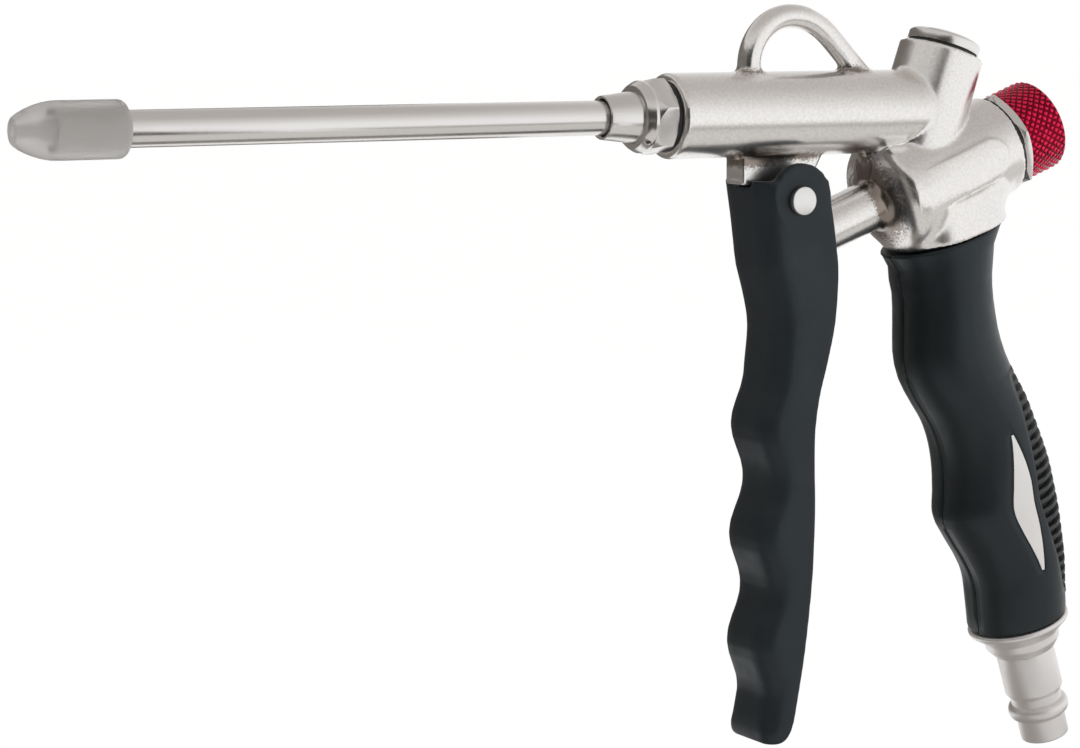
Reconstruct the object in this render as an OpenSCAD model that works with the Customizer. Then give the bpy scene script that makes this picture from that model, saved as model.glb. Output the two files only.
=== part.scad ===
// Air blow gun: a long capped nozzle, a cast body with a hanging loop, an inline valve that a
// pivoted hand lever opens, a throttle turned by a rear knob, and a two-shell grip on a core tube.
// X runs along the barrel towards the back, Z is up, and the origin is the middle of the air outlet.

/* [Nozzle] */
// Length of the soft nozzle cap
tip_length = 20; // [17:0.5:24]
// Diameter of the cap's straight part
tip_dia = 10.2; // [9.4:0.1:12]
// Length of the cap's tapered nose
tip_taper = 8; // [6.6:0.1:10]
// Diameter of the cap's flat nose face
tip_nose_dia = 4.8; // [3.6:0.1:7]
// Rounding of the cap's rear edge
tip_round = 1.2; // [0.4:0.1:1.5]
// Diameter of the air outlet
outlet_dia = 2; // [1:0.1:3]
// Depth of the outlet hole in the cap's nose
outlet_depth = 4; // [2:0.1:5]
// Length of tube that the cap covers
tip_cover = 13; // [10:0.5:14]
// Outside diameter of the nozzle tube
tube_dia = 6.5; // [5.5:0.1:7.2]
// Bore of the nozzle tube
tube_bore = 4.3; // [3:0.1:4.8]
// Length of bare tube between the cap and the ferrule
tube_shown = 95.1; // [60:1:300]

/* [Nozzle fitting] */
// Length of the tapered ferrule in front of the nut
ferrule_shown = 6.5; // [4:0.1:8]
// Diameter of the ferrule's front end
ferrule_front_dia = 8.2; // [7.6:0.1:9]
// Diameter of the ferrule where it enters the nut
ferrule_rear_dia = 9.8; // [9:0.1:9.9]
// Depth that the ferrule sits in the nut
ferrule_seat = 3; // [1.5:0.1:3.5]
// Length of the nut's domed collar
collar_length = 2.2; // [2:0.1:4]
// Diameter of the collar's front edge
collar_front_dia = 10.6; // [10.4:0.1:12]
// Diameter of the collar's back edge
collar_rear_dia = 13.6; // [13:0.1:14]
// Distance of the bleed hole behind the collar's front
bleed_place = 1; // [0.8:0.1:1.2]
// Diameter of the bleed hole in the collar
bleed_dia = 0.9; // [0.5:0.1:1.2]
// Size of the nozzle nut across its flats
nut_flats = 13; // [12.6:0.1:14]
// Length of the nozzle nut's hexagon
nut_length = 4.5; // [4:0.1:8]
// Turn of the nozzle nut about its axis, in degrees
nut_turn = 15; // [0:1:59]
// Diameter of the nozzle nut's threaded end
nut_thread_dia = 11.8; // [10:0.1:12]
// Length of the nozzle nut's threaded end
nut_thread_length = 9; // [5:0.5:12]
// Thickness of the ring in the joint between nut and barrel
nozzle_ring = 0.7; // [0.5:0.1:1.2]

/* [Barrel and loop] */
// Outside diameter of the barrel
barrel_dia = 16.3; // [15.6:0.1:18]
// Length of the barrel
barrel_length = 59.5; // [57:0.5:62]
// Rounding of the barrel's back edge
barrel_round = 3; // [1:0.5:5]
// Air passage in the barrel
barrel_bore = 7; // [5:0.1:8]
// Chamfer of the barrel's mouth
barrel_chamfer = 0.6; // [0.3:0.1:0.9]
// Thickness of the hanging loop's rod
loop_rod = 4.6; // [3.6:0.1:5.4]
// Height of the loop's centre line above the barrel's axis
loop_rise = 18.7; // [17.5:0.1:24]
// Distance of the loop's top behind the barrel's mouth
loop_place = 28.6; // [20:0.1:34]
// Radius of the loop's front bend
loop_front_bend = 9.4; // [8:0.1:9.8]
// Radius of the loop's rear bend
loop_rear_bend = 12.9; // [10:0.1:14]
// Slope of the loop's rear leg, in degrees
loop_slope = 45; // [40:1:50]

/* [Valve housing] */
// Tilt of the valve's axis, in degrees
valve_tilt = 20; // [19:0.5:21]
// Distance of the valve's cross passage behind the barrel's mouth
valve_place = 55.6; // [55:0.1:57]
// Depth of the cross passage below the barrel's axis
valve_drop = 15.7; // [15.2:0.1:16.4]
// Distance from the cross passage to the housing's front face
housing_front = 5.9; // [4.5:0.1:6]
// Distance from the cross passage to the housing's rear face
housing_rear = 24.2; // [24:0.1:26]
// Diameter of the housing's front end
housing_front_dia = 23.6; // [22:0.1:25]
// Diameter of the housing's rear end
housing_rear_dia = 20.6; // [20:0.1:22]
// Diameter of the nose towards the lever
nose_dia = 10; // [9.4:0.1:10.3]
// Distance from the cross passage to the nose's end
nose_reach = 25.6; // [24:0.1:26]
// Length of the raised pad on each side
pad_length = 24; // [16:0.5:26]
// Distance from the cross passage to the middle of the raised pad
pad_place = 8.3; // [7.5:0.1:9]
// Height of the raised pad's middle above the valve's axis
pad_rise = 0.8; // [0:0.1:1.2]
// Height of the raised pad
pad_width = 8.2; // [5:0.1:9]
// Distance between the two raised pads' faces
pad_span = 23; // [22.4:0.1:24]
// Diameter of the cross boss
boss_dia = 17; // [16:0.1:18]
// Tilt of the cross boss, in degrees
boss_tilt = 19.5; // [18:0.5:22]
// Length of the cross boss from the valve's axis
boss_length = 28.9; // [27:0.1:32]
// Diameter of the short round web under the barrel
web_dia = 6.4; // [5:0.1:7]
// Length of the web in front of the housing
web_length = 9; // [7:0.5:10]

/* [Valve] */
// Diameter of the valve stem
stem_dia = 4; // [3.4:0.1:4.4]
// Bore around the stem
stem_way = 5.8; // [5.4:0.1:6]
// Bore of the stem's gland in the nose
gland_bore = 7; // [6.6:0.1:7.2]
// Depth of the stem's gland
gland_depth = 8.4; // [7.5:0.1:9]
// Length of the stem guide
guide_length = 6.4; // [5:0.1:7]
// Length of the stem in front of the nose
stem_shown = 7; // [6.6:0.1:7.2]
// Distance from the cross passage to the valve seat
seat_place = 8.2; // [8:0.1:8.6]
// Diameter of the valve chamber
chamber_dia = 11.2; // [11:0.1:11.4]
// Diameter of the poppet
poppet_dia = 8.2; // [7.8:0.1:8.4]
// Length of the poppet's head
poppet_length = 3.2; // [2.8:0.1:3.4]
// Diameter of the poppet's tail
poppet_tail_dia = 3.6; // [3:0.1:4.4]
// Length of the poppet's tail
poppet_tail = 2.4; // [1.6:0.1:2.6]
// Thickness of the seal in the poppet
seal_thickness = 1.2; // [0.8:0.1:1.4]
// Distance from the valve seat to the inlet port in the chamber's wall
port_reach = 3.8; // [3.4:0.1:4.4]
// Diameter of the inlet port
port_dia = 3.2; // [2.6:0.1:3.4]
// Wire of the valve spring
spring_wire = 0.7; // [0.5:0.1:0.8]
// Outside diameter of the valve spring
spring_dia = 7.4; // [7:0.1:7.8]
// Turns of the valve spring
spring_turns = 4; // [3:1:5]

/* [Throttle] */
// Travel of the throttle from closed to open
throttle_travel = 3; // [2:0.1:3.2]
// Wall of the throttle sleeve
sleeve_wall = 1.1; // [0.9:0.05:1.2]
// Length of the throttle sleeve
sleeve_length = 9.6; // [9.4:0.1:9.8]
// Distance from the seat to the sleeve's front edge, knob screwed in
sleeve_place = 1.4; // [1.2:0.1:1.6]
// Diameter of the spindle
spindle_dia = 7; // [6:0.1:8]
// Diameter of the spindle's ends
spindle_end_dia = 5; // [4.6:0.1:5.4]
// Outside diameter of the rear gland's thread
bonnet_thread_dia = 15.5; // [15:0.1:15.8]
// Size of the rear gland across its flats
bonnet_flats = 18.6; // [18.4:0.1:19.4]
// Thickness of the rear gland's hexagon
bonnet_thickness = 2.1; // [2:0.1:3]
// Thickness of the ring under the rear gland
bonnet_ring = 0.6; // [0.5:0.1:1]
// Diameter of the knob
knob_dia = 18.8; // [16:0.1:22]
// Length of the knob
knob_length = 8.9; // [8.4:0.1:10]
// Chamfer of the knob's rear edge
knob_chamfer = 0.6; // [0.3:0.1:1]
// Number of ridges of the knob's knurl
knurl_count = 48; // [36:1:60]
// Depth of the knob's knurl
knurl_depth = 0.3; // [0.1:0.05:0.5]
// Diameter of the knob screw's head
screw_head_dia = 5.4; // [5:0.1:6]
// Thickness of the knob screw's head
screw_head = 1.6; // [1.2:0.1:2]
// Thread of the knob screw
screw_dia = 3; // [2.5:0.1:3.4]

/* [Passage plug] */
// Diameter of the plug's head
plug_dia = 14.5; // [13.5:0.1:16]
// Thickness of the plug's head at its rim
plug_rim = 1.7; // [1.2:0.1:2.5]
// Height of the dome on the plug's head
plug_dome = 1.3; // [0.8:0.1:2]
// Thread of the plug
plug_thread_dia = 12; // [10:0.1:12.5]
// Length of the plug's thread
plug_thread_length = 7; // [4:0.5:8]
// Ring under the plug's head
plug_ring = 0.8; // [0.5:0.1:1.2]
// Width of the slot in the plug
slot_width = 1.5; // [1.2:0.1:3.6]
// Depth of the slot in the plug
slot_depth = 1.1; // [0.9:0.1:2.4]
// Turn of the slot, in degrees
slot_turn = 15; // [0:5:175]
// Cross passage under the plug
passage_dia = 3.8; // [3:0.1:4]

/* [Lever] */
// Distance of the pivot behind the barrel's mouth
pivot_place = 26.1; // [25.8:0.1:26.4]
// Depth of the pivot below the barrel's axis
pivot_drop = 16.3; // [16:0.1:16.8]
// Length of the lever below its pivot
lever_reach = 106.4; // [100:0.1:120]
// Depth of the lever, front to back, that its outline follows
lever_depth = 15.6; // [15:0.1:16.4]
// Width of the lever
lever_width = 16; // [15:0.1:18]
// Wall of the lever's sides
lever_wall = 2.5; // [2:0.1:2.7]
// Wall of the lever's front
lever_front_wall = 2.2; // [1.8:0.1:2.4]
// Rounding of the lever's front corners
lever_round = 4.5; // [3:0.1:5.5]
// Height of the lever's finger ridges
finger_height = 3; // [1.5:0.1:3.6]
// Reach of one finger ridge, up or down from its crest
finger_reach = 10.5; // [8:0.1:11]
// Radius of the lever's ears around the pivot
ear_radius = 6.6; // [6.2:0.1:7]
// Diameter of the pivot pin
pin_dia = 4.4; // [4:0.1:4.8]
// Diameter of the pin's head
pin_head_dia = 5.4; // [5.2:0.1:6.5]
// Height of the pin's head
pin_head = 1.2; // [0.8:0.1:1.6]
// Outside diameter of the retaining clip on the pin
clip_dia = 7.6; // [7:0.1:8.4]
// Thickness of the retaining clips on the pin and on the spindle
clip_thickness = 0.6; // [0.5:0.1:0.7]
// Thickness of the lug that carries the pin
lug_width = 6; // [5:0.1:6.6]
// Diameter of the lug's boss around the pin
lug_boss_dia = 7.4; // [7:0.1:7.6]
// Diameter of the pad that pushes the stem
push_pad_dia = 7; // [5:0.1:8]

/* [Grip] */
// Tilt of the handle's axis, in degrees
handle_tilt = 17.6; // [17:0.1:18.4]
// Distance along the valve's axis from the cross passage to the handle's axis
handle_place = 3.2; // [3:0.1:3.6]
// Distance from the valve's axis to the top of the grip
grip_top = 12; // [11.6:0.1:14]
// Length of the grip
grip_length = 82.8; // [74:0.1:94]
// Depth of the grip, front to back, that its outline follows
grip_depth = 20; // [18.5:0.1:21]
// Width of the grip at its middle
grip_width = 23.2; // [22:0.1:25]
// Outside diameter of the handle's core tube
core_dia = 10.4; // [10:0.1:10.8]
// Bore of the core tube
core_bore = 7.2; // [6:0.1:8]
// Width of the parting groove between the grip's shells
seam_width = 0.24; // [0.1:0.02:0.4]
// Depth of the ribbed back strip's recess
strip_depth = 1.3; // [0.8:0.1:1.5]
// Number of ribs on the back strip
rib_count = 23; // [12:1:26]
// Depth of the grooves between the ribs
rib_depth = 0.7; // [0.3:0.1:0.8]
// Depth of the side inlays
inlay_depth = 0.6; // [0.4:0.1:0.8]
// Diameter of the neck at the grip's joint
neck_dia = 22.8; // [22.4:0.1:24]
// Distance of the neck's front arc behind the handle's axis
neck_front = 3.3; // [2.8:0.1:3.8]
// Distance of the neck's rear arc behind the handle's axis
neck_rear = 6.5; // [6:0.1:7]
// Distance of the neck's heel behind the handle's axis
neck_heel = 10.7; // [10:0.1:11]
// Diameter of the neck's heel
neck_heel_dia = 20.4; // [19.6:0.1:20.6]

/* [Air inlet] */
// Diameter of the end collar
collar_dia = 21; // [20:0.1:22]
// Height of the end collar's rim
end_rim = 1; // [0.8:0.1:3]
// Diameter of the end collar's step
end_step_dia = 15.5; // [14:0.1:16]
// Height of the end collar's cone
end_cone = 2.1; // [1.5:0.1:3]
// Height of the end collar's step and chamfer
end_step = 3.8; // [3:0.1:5]
// Diameter of the plug nipple's body
nipple_dia = 12.05; // [11.8:0.05:12.2]
// Length of the plug nipple's body
nipple_body = 10; // [8:0.1:13]
// Diameter of the plug nipple's neck
nipple_neck_dia = 10.6; // [10:0.1:11]
// Length of the plug nipple's neck
nipple_neck = 1.7; // [1:0.1:3]
// Diameter of the plug nipple's ring
nipple_ring_dia = 12.6; // [12.3:0.1:13]
// Length of the plug nipple's ring
nipple_ring = 3.2; // [2.5:0.1:4]
// Diameter of the plug nipple's tip
nipple_tip_dia = 10; // [9.8:0.05:10.2]
// Length of the plug nipple's tip
nipple_tip = 5; // [3.5:0.1:6]
// Bore of the plug nipple
nipple_bore = 7; // [5:0.1:8]

/* [Hidden] */
$fn = 64;

// Radial gap of a running fit and of a thread or push fit, and the gap between faces that come near
run_gap = 0.05;
fit_gap = 0.05;
face_gap = 0.3;
// Overrun of a cut past the face that it opens
overrun = 1;
// Small chamfer that breaks a turned edge
edge_break = 0.4;
// Thickness of the small seals across their ring, and the wall of the spindle's clip
seal_section = 1.3;
clip_wall = 0.4;
// Lengths of the hexagons' chamfers as shares of their depth
front_chamfer_share = 1.7;
chamfer_share = 0.58;

// Places along the barrel
ferrule_x = tip_length + tube_shown;
nut_x = ferrule_x + ferrule_shown;
hex_x = nut_x + collar_length;
nut_end_x = hex_x + nut_length;
mouth_x = nut_end_x + nozzle_ring;
nut_end_thread_x = nut_end_x + nut_thread_length;
tube_end_x = nut_end_thread_x - overrun;

// Valve frame: origin at the cross passage, Z along the valve's axis towards the knob
cross = [mouth_x + valve_place, 0, -valve_drop];
pivot = [mouth_x + pivot_place, 0, -pivot_drop];
bonnet_skirt = 7.7;
sleeve_floor = 1.6;
chamber_end = housing_rear - bonnet_skirt - face_gap;
sleeve_dia = chamber_dia - 2 * run_gap;
sleeve_front = seat_place + sleeve_place;
sleeve_end = sleeve_front + sleeve_length;
sleeve_seat = sleeve_end - sleeve_floor;
poppet_back = seat_place + poppet_length;
bonnet_face = housing_rear + bonnet_ring;
bonnet_rear = bonnet_face + bonnet_thickness;
bonnet_inner = sleeve_end + throttle_travel + face_gap;
spindle_groove = bonnet_inner + overrun;
spindle_ring = 1.6;
spindle_ring_dia = spindle_dia + 2 * seal_section;
knob_front = bonnet_rear + face_gap;
knob_rear = knob_front + knob_length;
knob_recess = screw_head + edge_break;
port_shift = (core_dia - port_dia) / 2 - edge_break / 2;

// Handle frame: origin on the valve's axis, Z down along the handle's axis, X to the front
handle = [cross[0] + handle_place * cos(valve_tilt), 0, cross[2] + handle_place * sin(valve_tilt)];
neck_end = grip_top - face_gap;
socket_top = 8.5;
core_top = socket_top + overrun;
grip_end = grip_top + grip_length;
collar_top = grip_end + face_gap;
step_top = collar_top + end_rim + end_cone;
collar_end = step_top + end_step;
core_end = step_top - edge_break;
spigot_dia = nipple_dia - 2 * seal_section;
spigot_top = core_end + overrun;
seal_height = 1;

// Lever frame: origin at the pivot, X to the back, Z up
lever_clear = 0.4;
channel_width = lever_width - 2 * lever_wall;
wall_top = 3.8;
ear_offset = 0.5;
lug_front = 10.2;
lug_rear = 8.2;
lug_tab_bottom = 2.9;
pin_lip = 0.9;
pin_end = clip_thickness + pin_lip;

// Outline of the lever: shares of its reach, down from the pivot, with shares of its depth
lever_front_shares = [
    [-0.05, 0.59], [0.03, 0.499], [0.08, 0.452], [0.12, 0.413], [0.17, 0.312], [0.23, 0.23], [0.31, 0.274],
    [0.36, 0.276], [0.5, 0.275], [0.7, 0.3], [0.9, 0.324], [0.955, 0.391], [1, 0.44]
];
lever_rear_shares = [
    [-0.05, 0.429], [0, 0.475], [0.035, 0.522], [0.08, 0.569], [0.13, 0.611], [0.17, 0.602], [0.23, 0.566],
    [0.3, 0.457], [0.36, 0.346], [0.43, 0.284], [0.57, 0.296], [0.67, 0.277], [0.75, 0.232],
    [0.84, 0.155], [0.93, 0.047], [1, -0.049]
];
finger_shares = [0.4145, 0.617, 0.817];

// Outline of the grip: shares of its length, down from its top, with shares of its depth
grip_front_shares = [
    [0, 0.489], [0.03, 0.389], [0.06, 0.432], [0.1, 0.426], [0.15, 0.472], [0.2, 0.537], [0.26, 0.607],
    [0.32, 0.608], [0.38, 0.538], [0.44, 0.46], [0.5, 0.433], [0.56, 0.46], [0.62, 0.529], [0.68, 0.609],
    [0.74, 0.549], [0.8, 0.467], [0.86, 0.422], [0.93, 0.461], [1, 0.516]
];
grip_rear_shares = [
    [0, 0.879], [0.03, 0.706], [0.06, 0.661], [0.1, 0.582], [0.15, 0.522], [0.2, 0.494], [0.26, 0.478],
    [0.32, 0.495], [0.38, 0.546], [0.44, 0.611], [0.5, 0.648], [0.56, 0.686], [0.62, 0.718], [0.68, 0.722],
    [0.74, 0.707], [0.8, 0.671], [0.86, 0.632], [0.93, 0.567], [1, 0.508]
];
grip_side_shares = [[0, 0.97], [0.15, 0.93], [0.37, 0.97], [0.62, 1], [0.86, 0.96], [1, 0.91]];

// Where the back strip and the inlays lie: shares of the grip's length, and angles from its rear line
strip_shares = [0.35, 0.96];
strip_angles = [36, 75];
inlay_shares = [0.487, 0.866];
inlay_angle = 95;
inlay_swell = [11, 9.5];
least_angle = 0.8;
wall_angle = 0.7;
grip_round = 0.8;
least_wall = 0.2;

// Ends of the back strip, and its rows: places down the handle, with shares of the ribs' depth
strip_low = grip_top + grip_length * strip_shares[0];
strip_high = grip_top + grip_length * strip_shares[1];
rib_pitch = (strip_high - strip_low) / (rib_count + 1);
rib_marks = [
    for (k = [0:rib_count])
        let (z = strip_low + rib_pitch * (k + 0.35))
        each [[z, 0], [z + rib_pitch * 0.4, 0], [z + rib_pitch * 0.5, 1]]
];

// Shape of the housing's flare: shares of its front length, with shares of its front radius
flare_shares = [[1.15, 0.5], [1.02, 0.68], [0.94, 0.82], [0.84, 0.92], [0.72, 0.975], [0.58, 1]];
// Start and end of the straight part of the neck's heel, as shares of the grip's top place
heel_shares = [0.25, 0.54];
// Profile of the nut's collar: shares of its length, with shares of the rise between its edges
collar_shares = [[0, 0], [0.1, 0.4], [0.32, 0.67], [0.73, 1], [1, 1]];

// Smooth curve through a list of [place, value] pairs
function knot(list, t, i = 0) = (i >= len(list) - 2 || t < list[i + 1][0]) ? i : knot(list, t, i + 1);
function tangent(list, i) =
    let (a = max(i - 1, 0), b = min(i + 1, len(list) - 1))
    (list[b][1] - list[a][1]) / (list[b][0] - list[a][0]);
function curve(list, t) =
    let (i = knot(list, t), p = list[i], q = list[i + 1], h = q[0] - p[0], s = (t - p[0]) / h)
    p[1] * (1 + 2 * s) * pow(1 - s, 2) + q[1] * s * s * (3 - 2 * s)
    + tangent(list, i) * h * s * pow(1 - s, 2) - tangent(list, i + 1) * h * s * s * (1 - s);

function steps(a, b, n) = [for (i = [0:n]) a + (b - a) * i / n];

// A closed solid through rings of points: every ring runs anticlockwise seen from its far end
module loft(rings) {
    n = len(rings[0]);
    m = len(rings);
    middle = function (ring) [for (c = [0:2]) [for (p = ring) 1] * [for (p = ring) p[c]] / n];
    points = concat([for (ring = rings) each ring], [middle(rings[0]), middle(rings[m - 1])]);
    sides = [
        for (k = [0:m - 2], i = [0:n - 1])
            let (j = (i + 1) % n, a = k * n + i, b = k * n + j, c = b + n, d = a + n)
            each [[a, d, c], [a, c, b]]
    ];
    caps = [
        for (i = [0:n - 1])
            let (j = (i + 1) % n)
            each [[m * n, i, j], [m * n + 1, (m - 1) * n + j, (m - 1) * n + i]]
    ];
    polyhedron(points, concat(sides, caps), convexity = 4);
}

// The same for a flat band whose first half of each ring runs back along its second half
module band(rings) {
    n = len(rings[0]);
    m = len(rings);
    h = n / 2;
    sides = [
        for (k = [0:m - 2], i = [0:n - 1])
            let (j = (i + 1) % n, a = k * n + i, b = k * n + j, c = b + n, d = a + n)
            each [[a, d, c], [a, c, b]]
    ];
    caps = [
        for (i = [0:h - 2])
            let (a = i, b = i + 1, c = n - 2 - i, d = n - 1 - i, e = (m - 1) * n)
            each [[a, b, c], [a, c, d], [e + c, e + b, e + a], [e + d, e + c, e + a]]
    ];
    polyhedron([for (ring = rings) each ring], concat(sides, caps), convexity = 4);
}

module on_valve(z = 0) {
    translate(cross) rotate([0, 90 - valve_tilt, 0]) translate([0, 0, z]) children();
}

module on_boss(z = 0) {
    translate(cross) rotate([0, boss_tilt, 0]) translate([0, 0, z]) children();
}

module on_handle(z = 0) {
    translate(handle) rotate([0, 180 - handle_tilt, 0]) translate([0, 0, z]) children();
}

module on_barrel(x = 0) {
    translate([x, 0, 0]) rotate([0, 90, 0]) children();
}

module across(p, width) {
    translate(p) rotate([90, 0, 0]) translate([0, 0, -width / 2]) children();
}

module tube(outer, inner, height) {
    difference() {
        cylinder(d = outer, h = height);
        translate([0, 0, -overrun]) cylinder(d = inner, h = height + 2 * overrun);
    }
}

// A hexagonal prism whose corners are turned down to a cone; a chamfer's share of zero leaves them sharp
module hexagon(flats, height, front, back) {
    corner = flats / cos(30);
    drop = (corner - flats) / 2;
    low = drop * front;
    high = height - drop * back;
    intersection() {
        cylinder(d = corner, h = height, $fn = 6);
        rotate_extrude() polygon([
            [0, 0], [flats / 2, 0], [corner / 2, low], [corner / 2, high], [flats / 2, height], [0, height]
        ]);
    }
}

module nozzle_tip() {
    steps = 7;
    turns = 4;
    nose = [
        for (i = [0:steps])
            let (t = i / steps)
            [tip_nose_dia / 2 + (tip_dia - tip_nose_dia) / 2 * pow(sin(90 * t), 0.8), tip_taper * t]
    ];
    heel = [
        for (i = [0:turns])
            let (a = 90 * i / turns)
            [tip_dia / 2 - tip_round * (1 - cos(a)), tip_length - tip_round * (1 - sin(a))]
    ];
    color([0.86, 0.87, 0.87]) on_barrel() difference() {
        rotate_extrude() polygon(concat([[0, 0]], nose, heel, [[0, tip_length]]));
        translate([0, 0, -overrun]) cylinder(d = outlet_dia, h = outlet_depth + 2 * overrun);
        translate([0, 0, outlet_depth])
            cylinder(d1 = outlet_dia, d2 = tube_bore, h = tip_length - tip_cover - outlet_depth);
        translate([0, 0, tip_length - tip_cover])
            cylinder(d = tube_dia + 2 * fit_gap, h = tip_cover + overrun);
    }
}

module nozzle_tube() {
    start = tip_length - tip_cover;
    color([0.78, 0.77, 0.75]) on_barrel(start) tube(tube_dia, tube_bore, tube_end_x - start);
}

module nozzle_ferrule() {
    mouth = edge_break * 2;
    color([0.75, 0.74, 0.72]) on_barrel(ferrule_x) difference() {
        union() {
            cylinder(d1 = ferrule_front_dia, d2 = ferrule_rear_dia, h = ferrule_shown);
            translate([0, 0, ferrule_shown]) cylinder(d = ferrule_rear_dia, h = ferrule_seat - fit_gap);
        }
        translate([0, 0, -overrun])
            cylinder(d = tube_dia + 2 * fit_gap, h = ferrule_shown + ferrule_seat + 2 * overrun);
        cylinder(d1 = tube_dia + 2 * fit_gap + mouth, d2 = tube_dia + 2 * fit_gap, h = mouth);
    }
}

module nozzle_nut() {
    step = (collar_rear_dia - collar_front_dia) / 2;
    through = nut_length + collar_length + nut_thread_length;
    color([0.76, 0.75, 0.73]) on_barrel(nut_x) difference() {
        union() {
            rotate_extrude() polygon(concat(
                [[0, 0]],
                [for (c = collar_shares) [collar_front_dia / 2 + step * c[1], collar_length * c[0]]],
                [[0, collar_length]]
            ));
            translate([0, 0, collar_length]) rotate([0, 0, nut_turn])
                hexagon(nut_flats, nut_length, front_chamfer_share, chamfer_share);
            translate([0, 0, collar_length + nut_length / 2])
                cylinder(d = nut_thread_dia, h = nut_length / 2 + nut_thread_length);
        }
        translate([0, 0, -overrun]) cylinder(d = tube_dia + 2 * fit_gap, h = through + 2 * overrun);
        translate([0, 0, -overrun]) cylinder(d = ferrule_rear_dia + 2 * fit_gap, h = ferrule_seat + overrun);
        translate([0, 0, bleed_place]) rotate([90, 0, 45]) cylinder(d = bleed_dia, h = collar_rear_dia);
    }
}

module nozzle_ring_seal() {
    color([0.08, 0.08, 0.08]) on_barrel(nut_end_x)
        tube(nut_flats + edge_break, nut_thread_dia + 2 * fit_gap, nozzle_ring);
}

module loop() {
    top = [mouth_x + loop_place, 0, loop_rise];
    leg = (loop_rise - loop_rear_bend * (1 - cos(loop_slope))) / sin(loop_slope) - barrel_bore / 2;
    translate(top - [0, 0, loop_front_bend]) {
        rotate([90, 0, 0]) rotate([0, 0, 90]) rotate_extrude(angle = 90)
            translate([loop_front_bend, 0]) circle(d = loop_rod);
        translate([-loop_front_bend, 0, 0]) mirror([0, 0, 1])
            cylinder(d = loop_rod, h = loop_rise - loop_front_bend - barrel_bore / 2 - edge_break);
    }
    translate(top - [0, 0, loop_rear_bend]) {
        rotate([90, 0, 0]) rotate([0, 0, 90 - loop_slope]) rotate_extrude(angle = loop_slope)
            translate([loop_rear_bend, 0]) circle(d = loop_rod);
        rotate([0, loop_slope, 0]) translate([0, 0, loop_rear_bend]) rotate([0, 90, 0])
            cylinder(d = loop_rod, h = leg - edge_break);
    }
}

module lug() {
    across(pivot, lug_width) linear_extrude(lug_width) polygon([
        [-lug_front, pivot_drop - barrel_bore / 2 - edge_break], [-lug_front, lug_tab_bottom + edge_break],
        [-lug_front + edge_break, lug_tab_bottom], [-wall_top, lug_tab_bottom], [-lug_boss_dia / 2, 0],
        [0, -lug_boss_dia / 2], [lug_boss_dia / 2, 0], [lug_rear, pivot_drop - barrel_dia / 2 - edge_break],
        [lug_rear + edge_break, pivot_drop - barrel_bore / 2 - edge_break]
    ]);
    across(pivot, channel_width - 2 * face_gap) cylinder(d = lug_boss_dia, h = channel_width - 2 * face_gap);
}

module body_casting() {
    turns = 5;
    heel = [
        for (i = [0:turns])
            let (a = 90 * i / turns)
            [barrel_dia / 2 - barrel_round * (1 - cos(a)), barrel_length - barrel_round * (1 - sin(a))]
    ];
    front_r = housing_front_dia / 2;
    color([0.79, 0.77, 0.75]) difference() {
        union() {
            on_barrel(mouth_x) rotate_extrude() polygon(concat(
                [[0, 0], [barrel_dia / 2 - barrel_chamfer, 0], [barrel_dia / 2, barrel_chamfer]],
                heel, [[0, barrel_length]]
            ));
            loop();
            lug();
            on_valve() rotate_extrude() polygon(concat(
                [
                    [0, -nose_reach], [nose_dia / 2 - edge_break, -nose_reach],
                    [nose_dia / 2, -nose_reach + edge_break], [nose_dia / 2, -housing_front * 1.35]
                ],
                [for (c = flare_shares) [front_r * c[1], -housing_front * c[0]]],
                [
                    [housing_rear_dia / 2, housing_rear * 0.6],
                    [housing_rear_dia / 2, housing_rear], [0, housing_rear]
                ]
            ));
            on_valve(pad_place) rotate([90, 0, 0]) translate([-pad_rise, 0, -pad_span / 2])
                linear_extrude(pad_span) {
                    for (side = [-1, 1])
                        translate([0, side * (pad_length - pad_width) / 2]) circle(d = pad_width);
                    square([pad_width, pad_length - pad_width], center = true);
                }
            on_boss() cylinder(d = boss_dia, h = boss_length);
            translate([cross[0] - web_length, 0, cross[2] / 2 - web_dia / 2]) on_barrel()
                cylinder(d = web_dia, h = web_length);
            for (back = [neck_front, neck_rear]) on_handle() translate([-back, 0, 0])
                cylinder(d1 = neck_dia * 0.94, d2 = neck_dia, h = neck_end);
            on_handle(grip_top * heel_shares[0]) translate([-neck_heel, 0, 0])
                cylinder(d = neck_heel_dia, h = grip_top * (heel_shares[1] - heel_shares[0]));
            on_handle(grip_top * heel_shares[1]) translate([-neck_heel, 0, 0])
                cylinder(
                    d1 = neck_heel_dia, d2 = neck_heel_dia * 0.7, h = neck_end - grip_top * heel_shares[1]
                );
        }
        on_barrel(mouth_x - overrun) cylinder(d = barrel_bore, h = barrel_length + overrun);
        on_barrel(mouth_x - overrun)
            cylinder(d = nut_thread_dia + 2 * fit_gap, h = nut_thread_length + overrun);
        on_boss(-overrun) cylinder(d = passage_dia, h = boss_length);
        on_boss(boss_length - plug_thread_length - edge_break)
            cylinder(d = plug_thread_dia + 2 * fit_gap, h = plug_thread_length + edge_break + overrun);
        on_valve(-nose_reach - overrun) cylinder(d = gland_bore, h = gland_depth + overrun);
        on_valve(-nose_reach) cylinder(d = stem_way, h = nose_reach + seat_place + overrun);
        on_valve(seat_place) cylinder(d = chamber_dia, h = housing_rear - seat_place);
        on_valve(chamber_end)
            cylinder(d = bonnet_thread_dia + 2 * fit_gap, h = housing_rear - chamber_end + overrun);
        on_handle(socket_top) cylinder(d = core_dia + 2 * fit_gap, h = neck_end - socket_top + overrun);
        inlet_port();
        across(pivot, lever_width) cylinder(d = pin_dia + 2 * run_gap, h = lever_width);
    }
}

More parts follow.
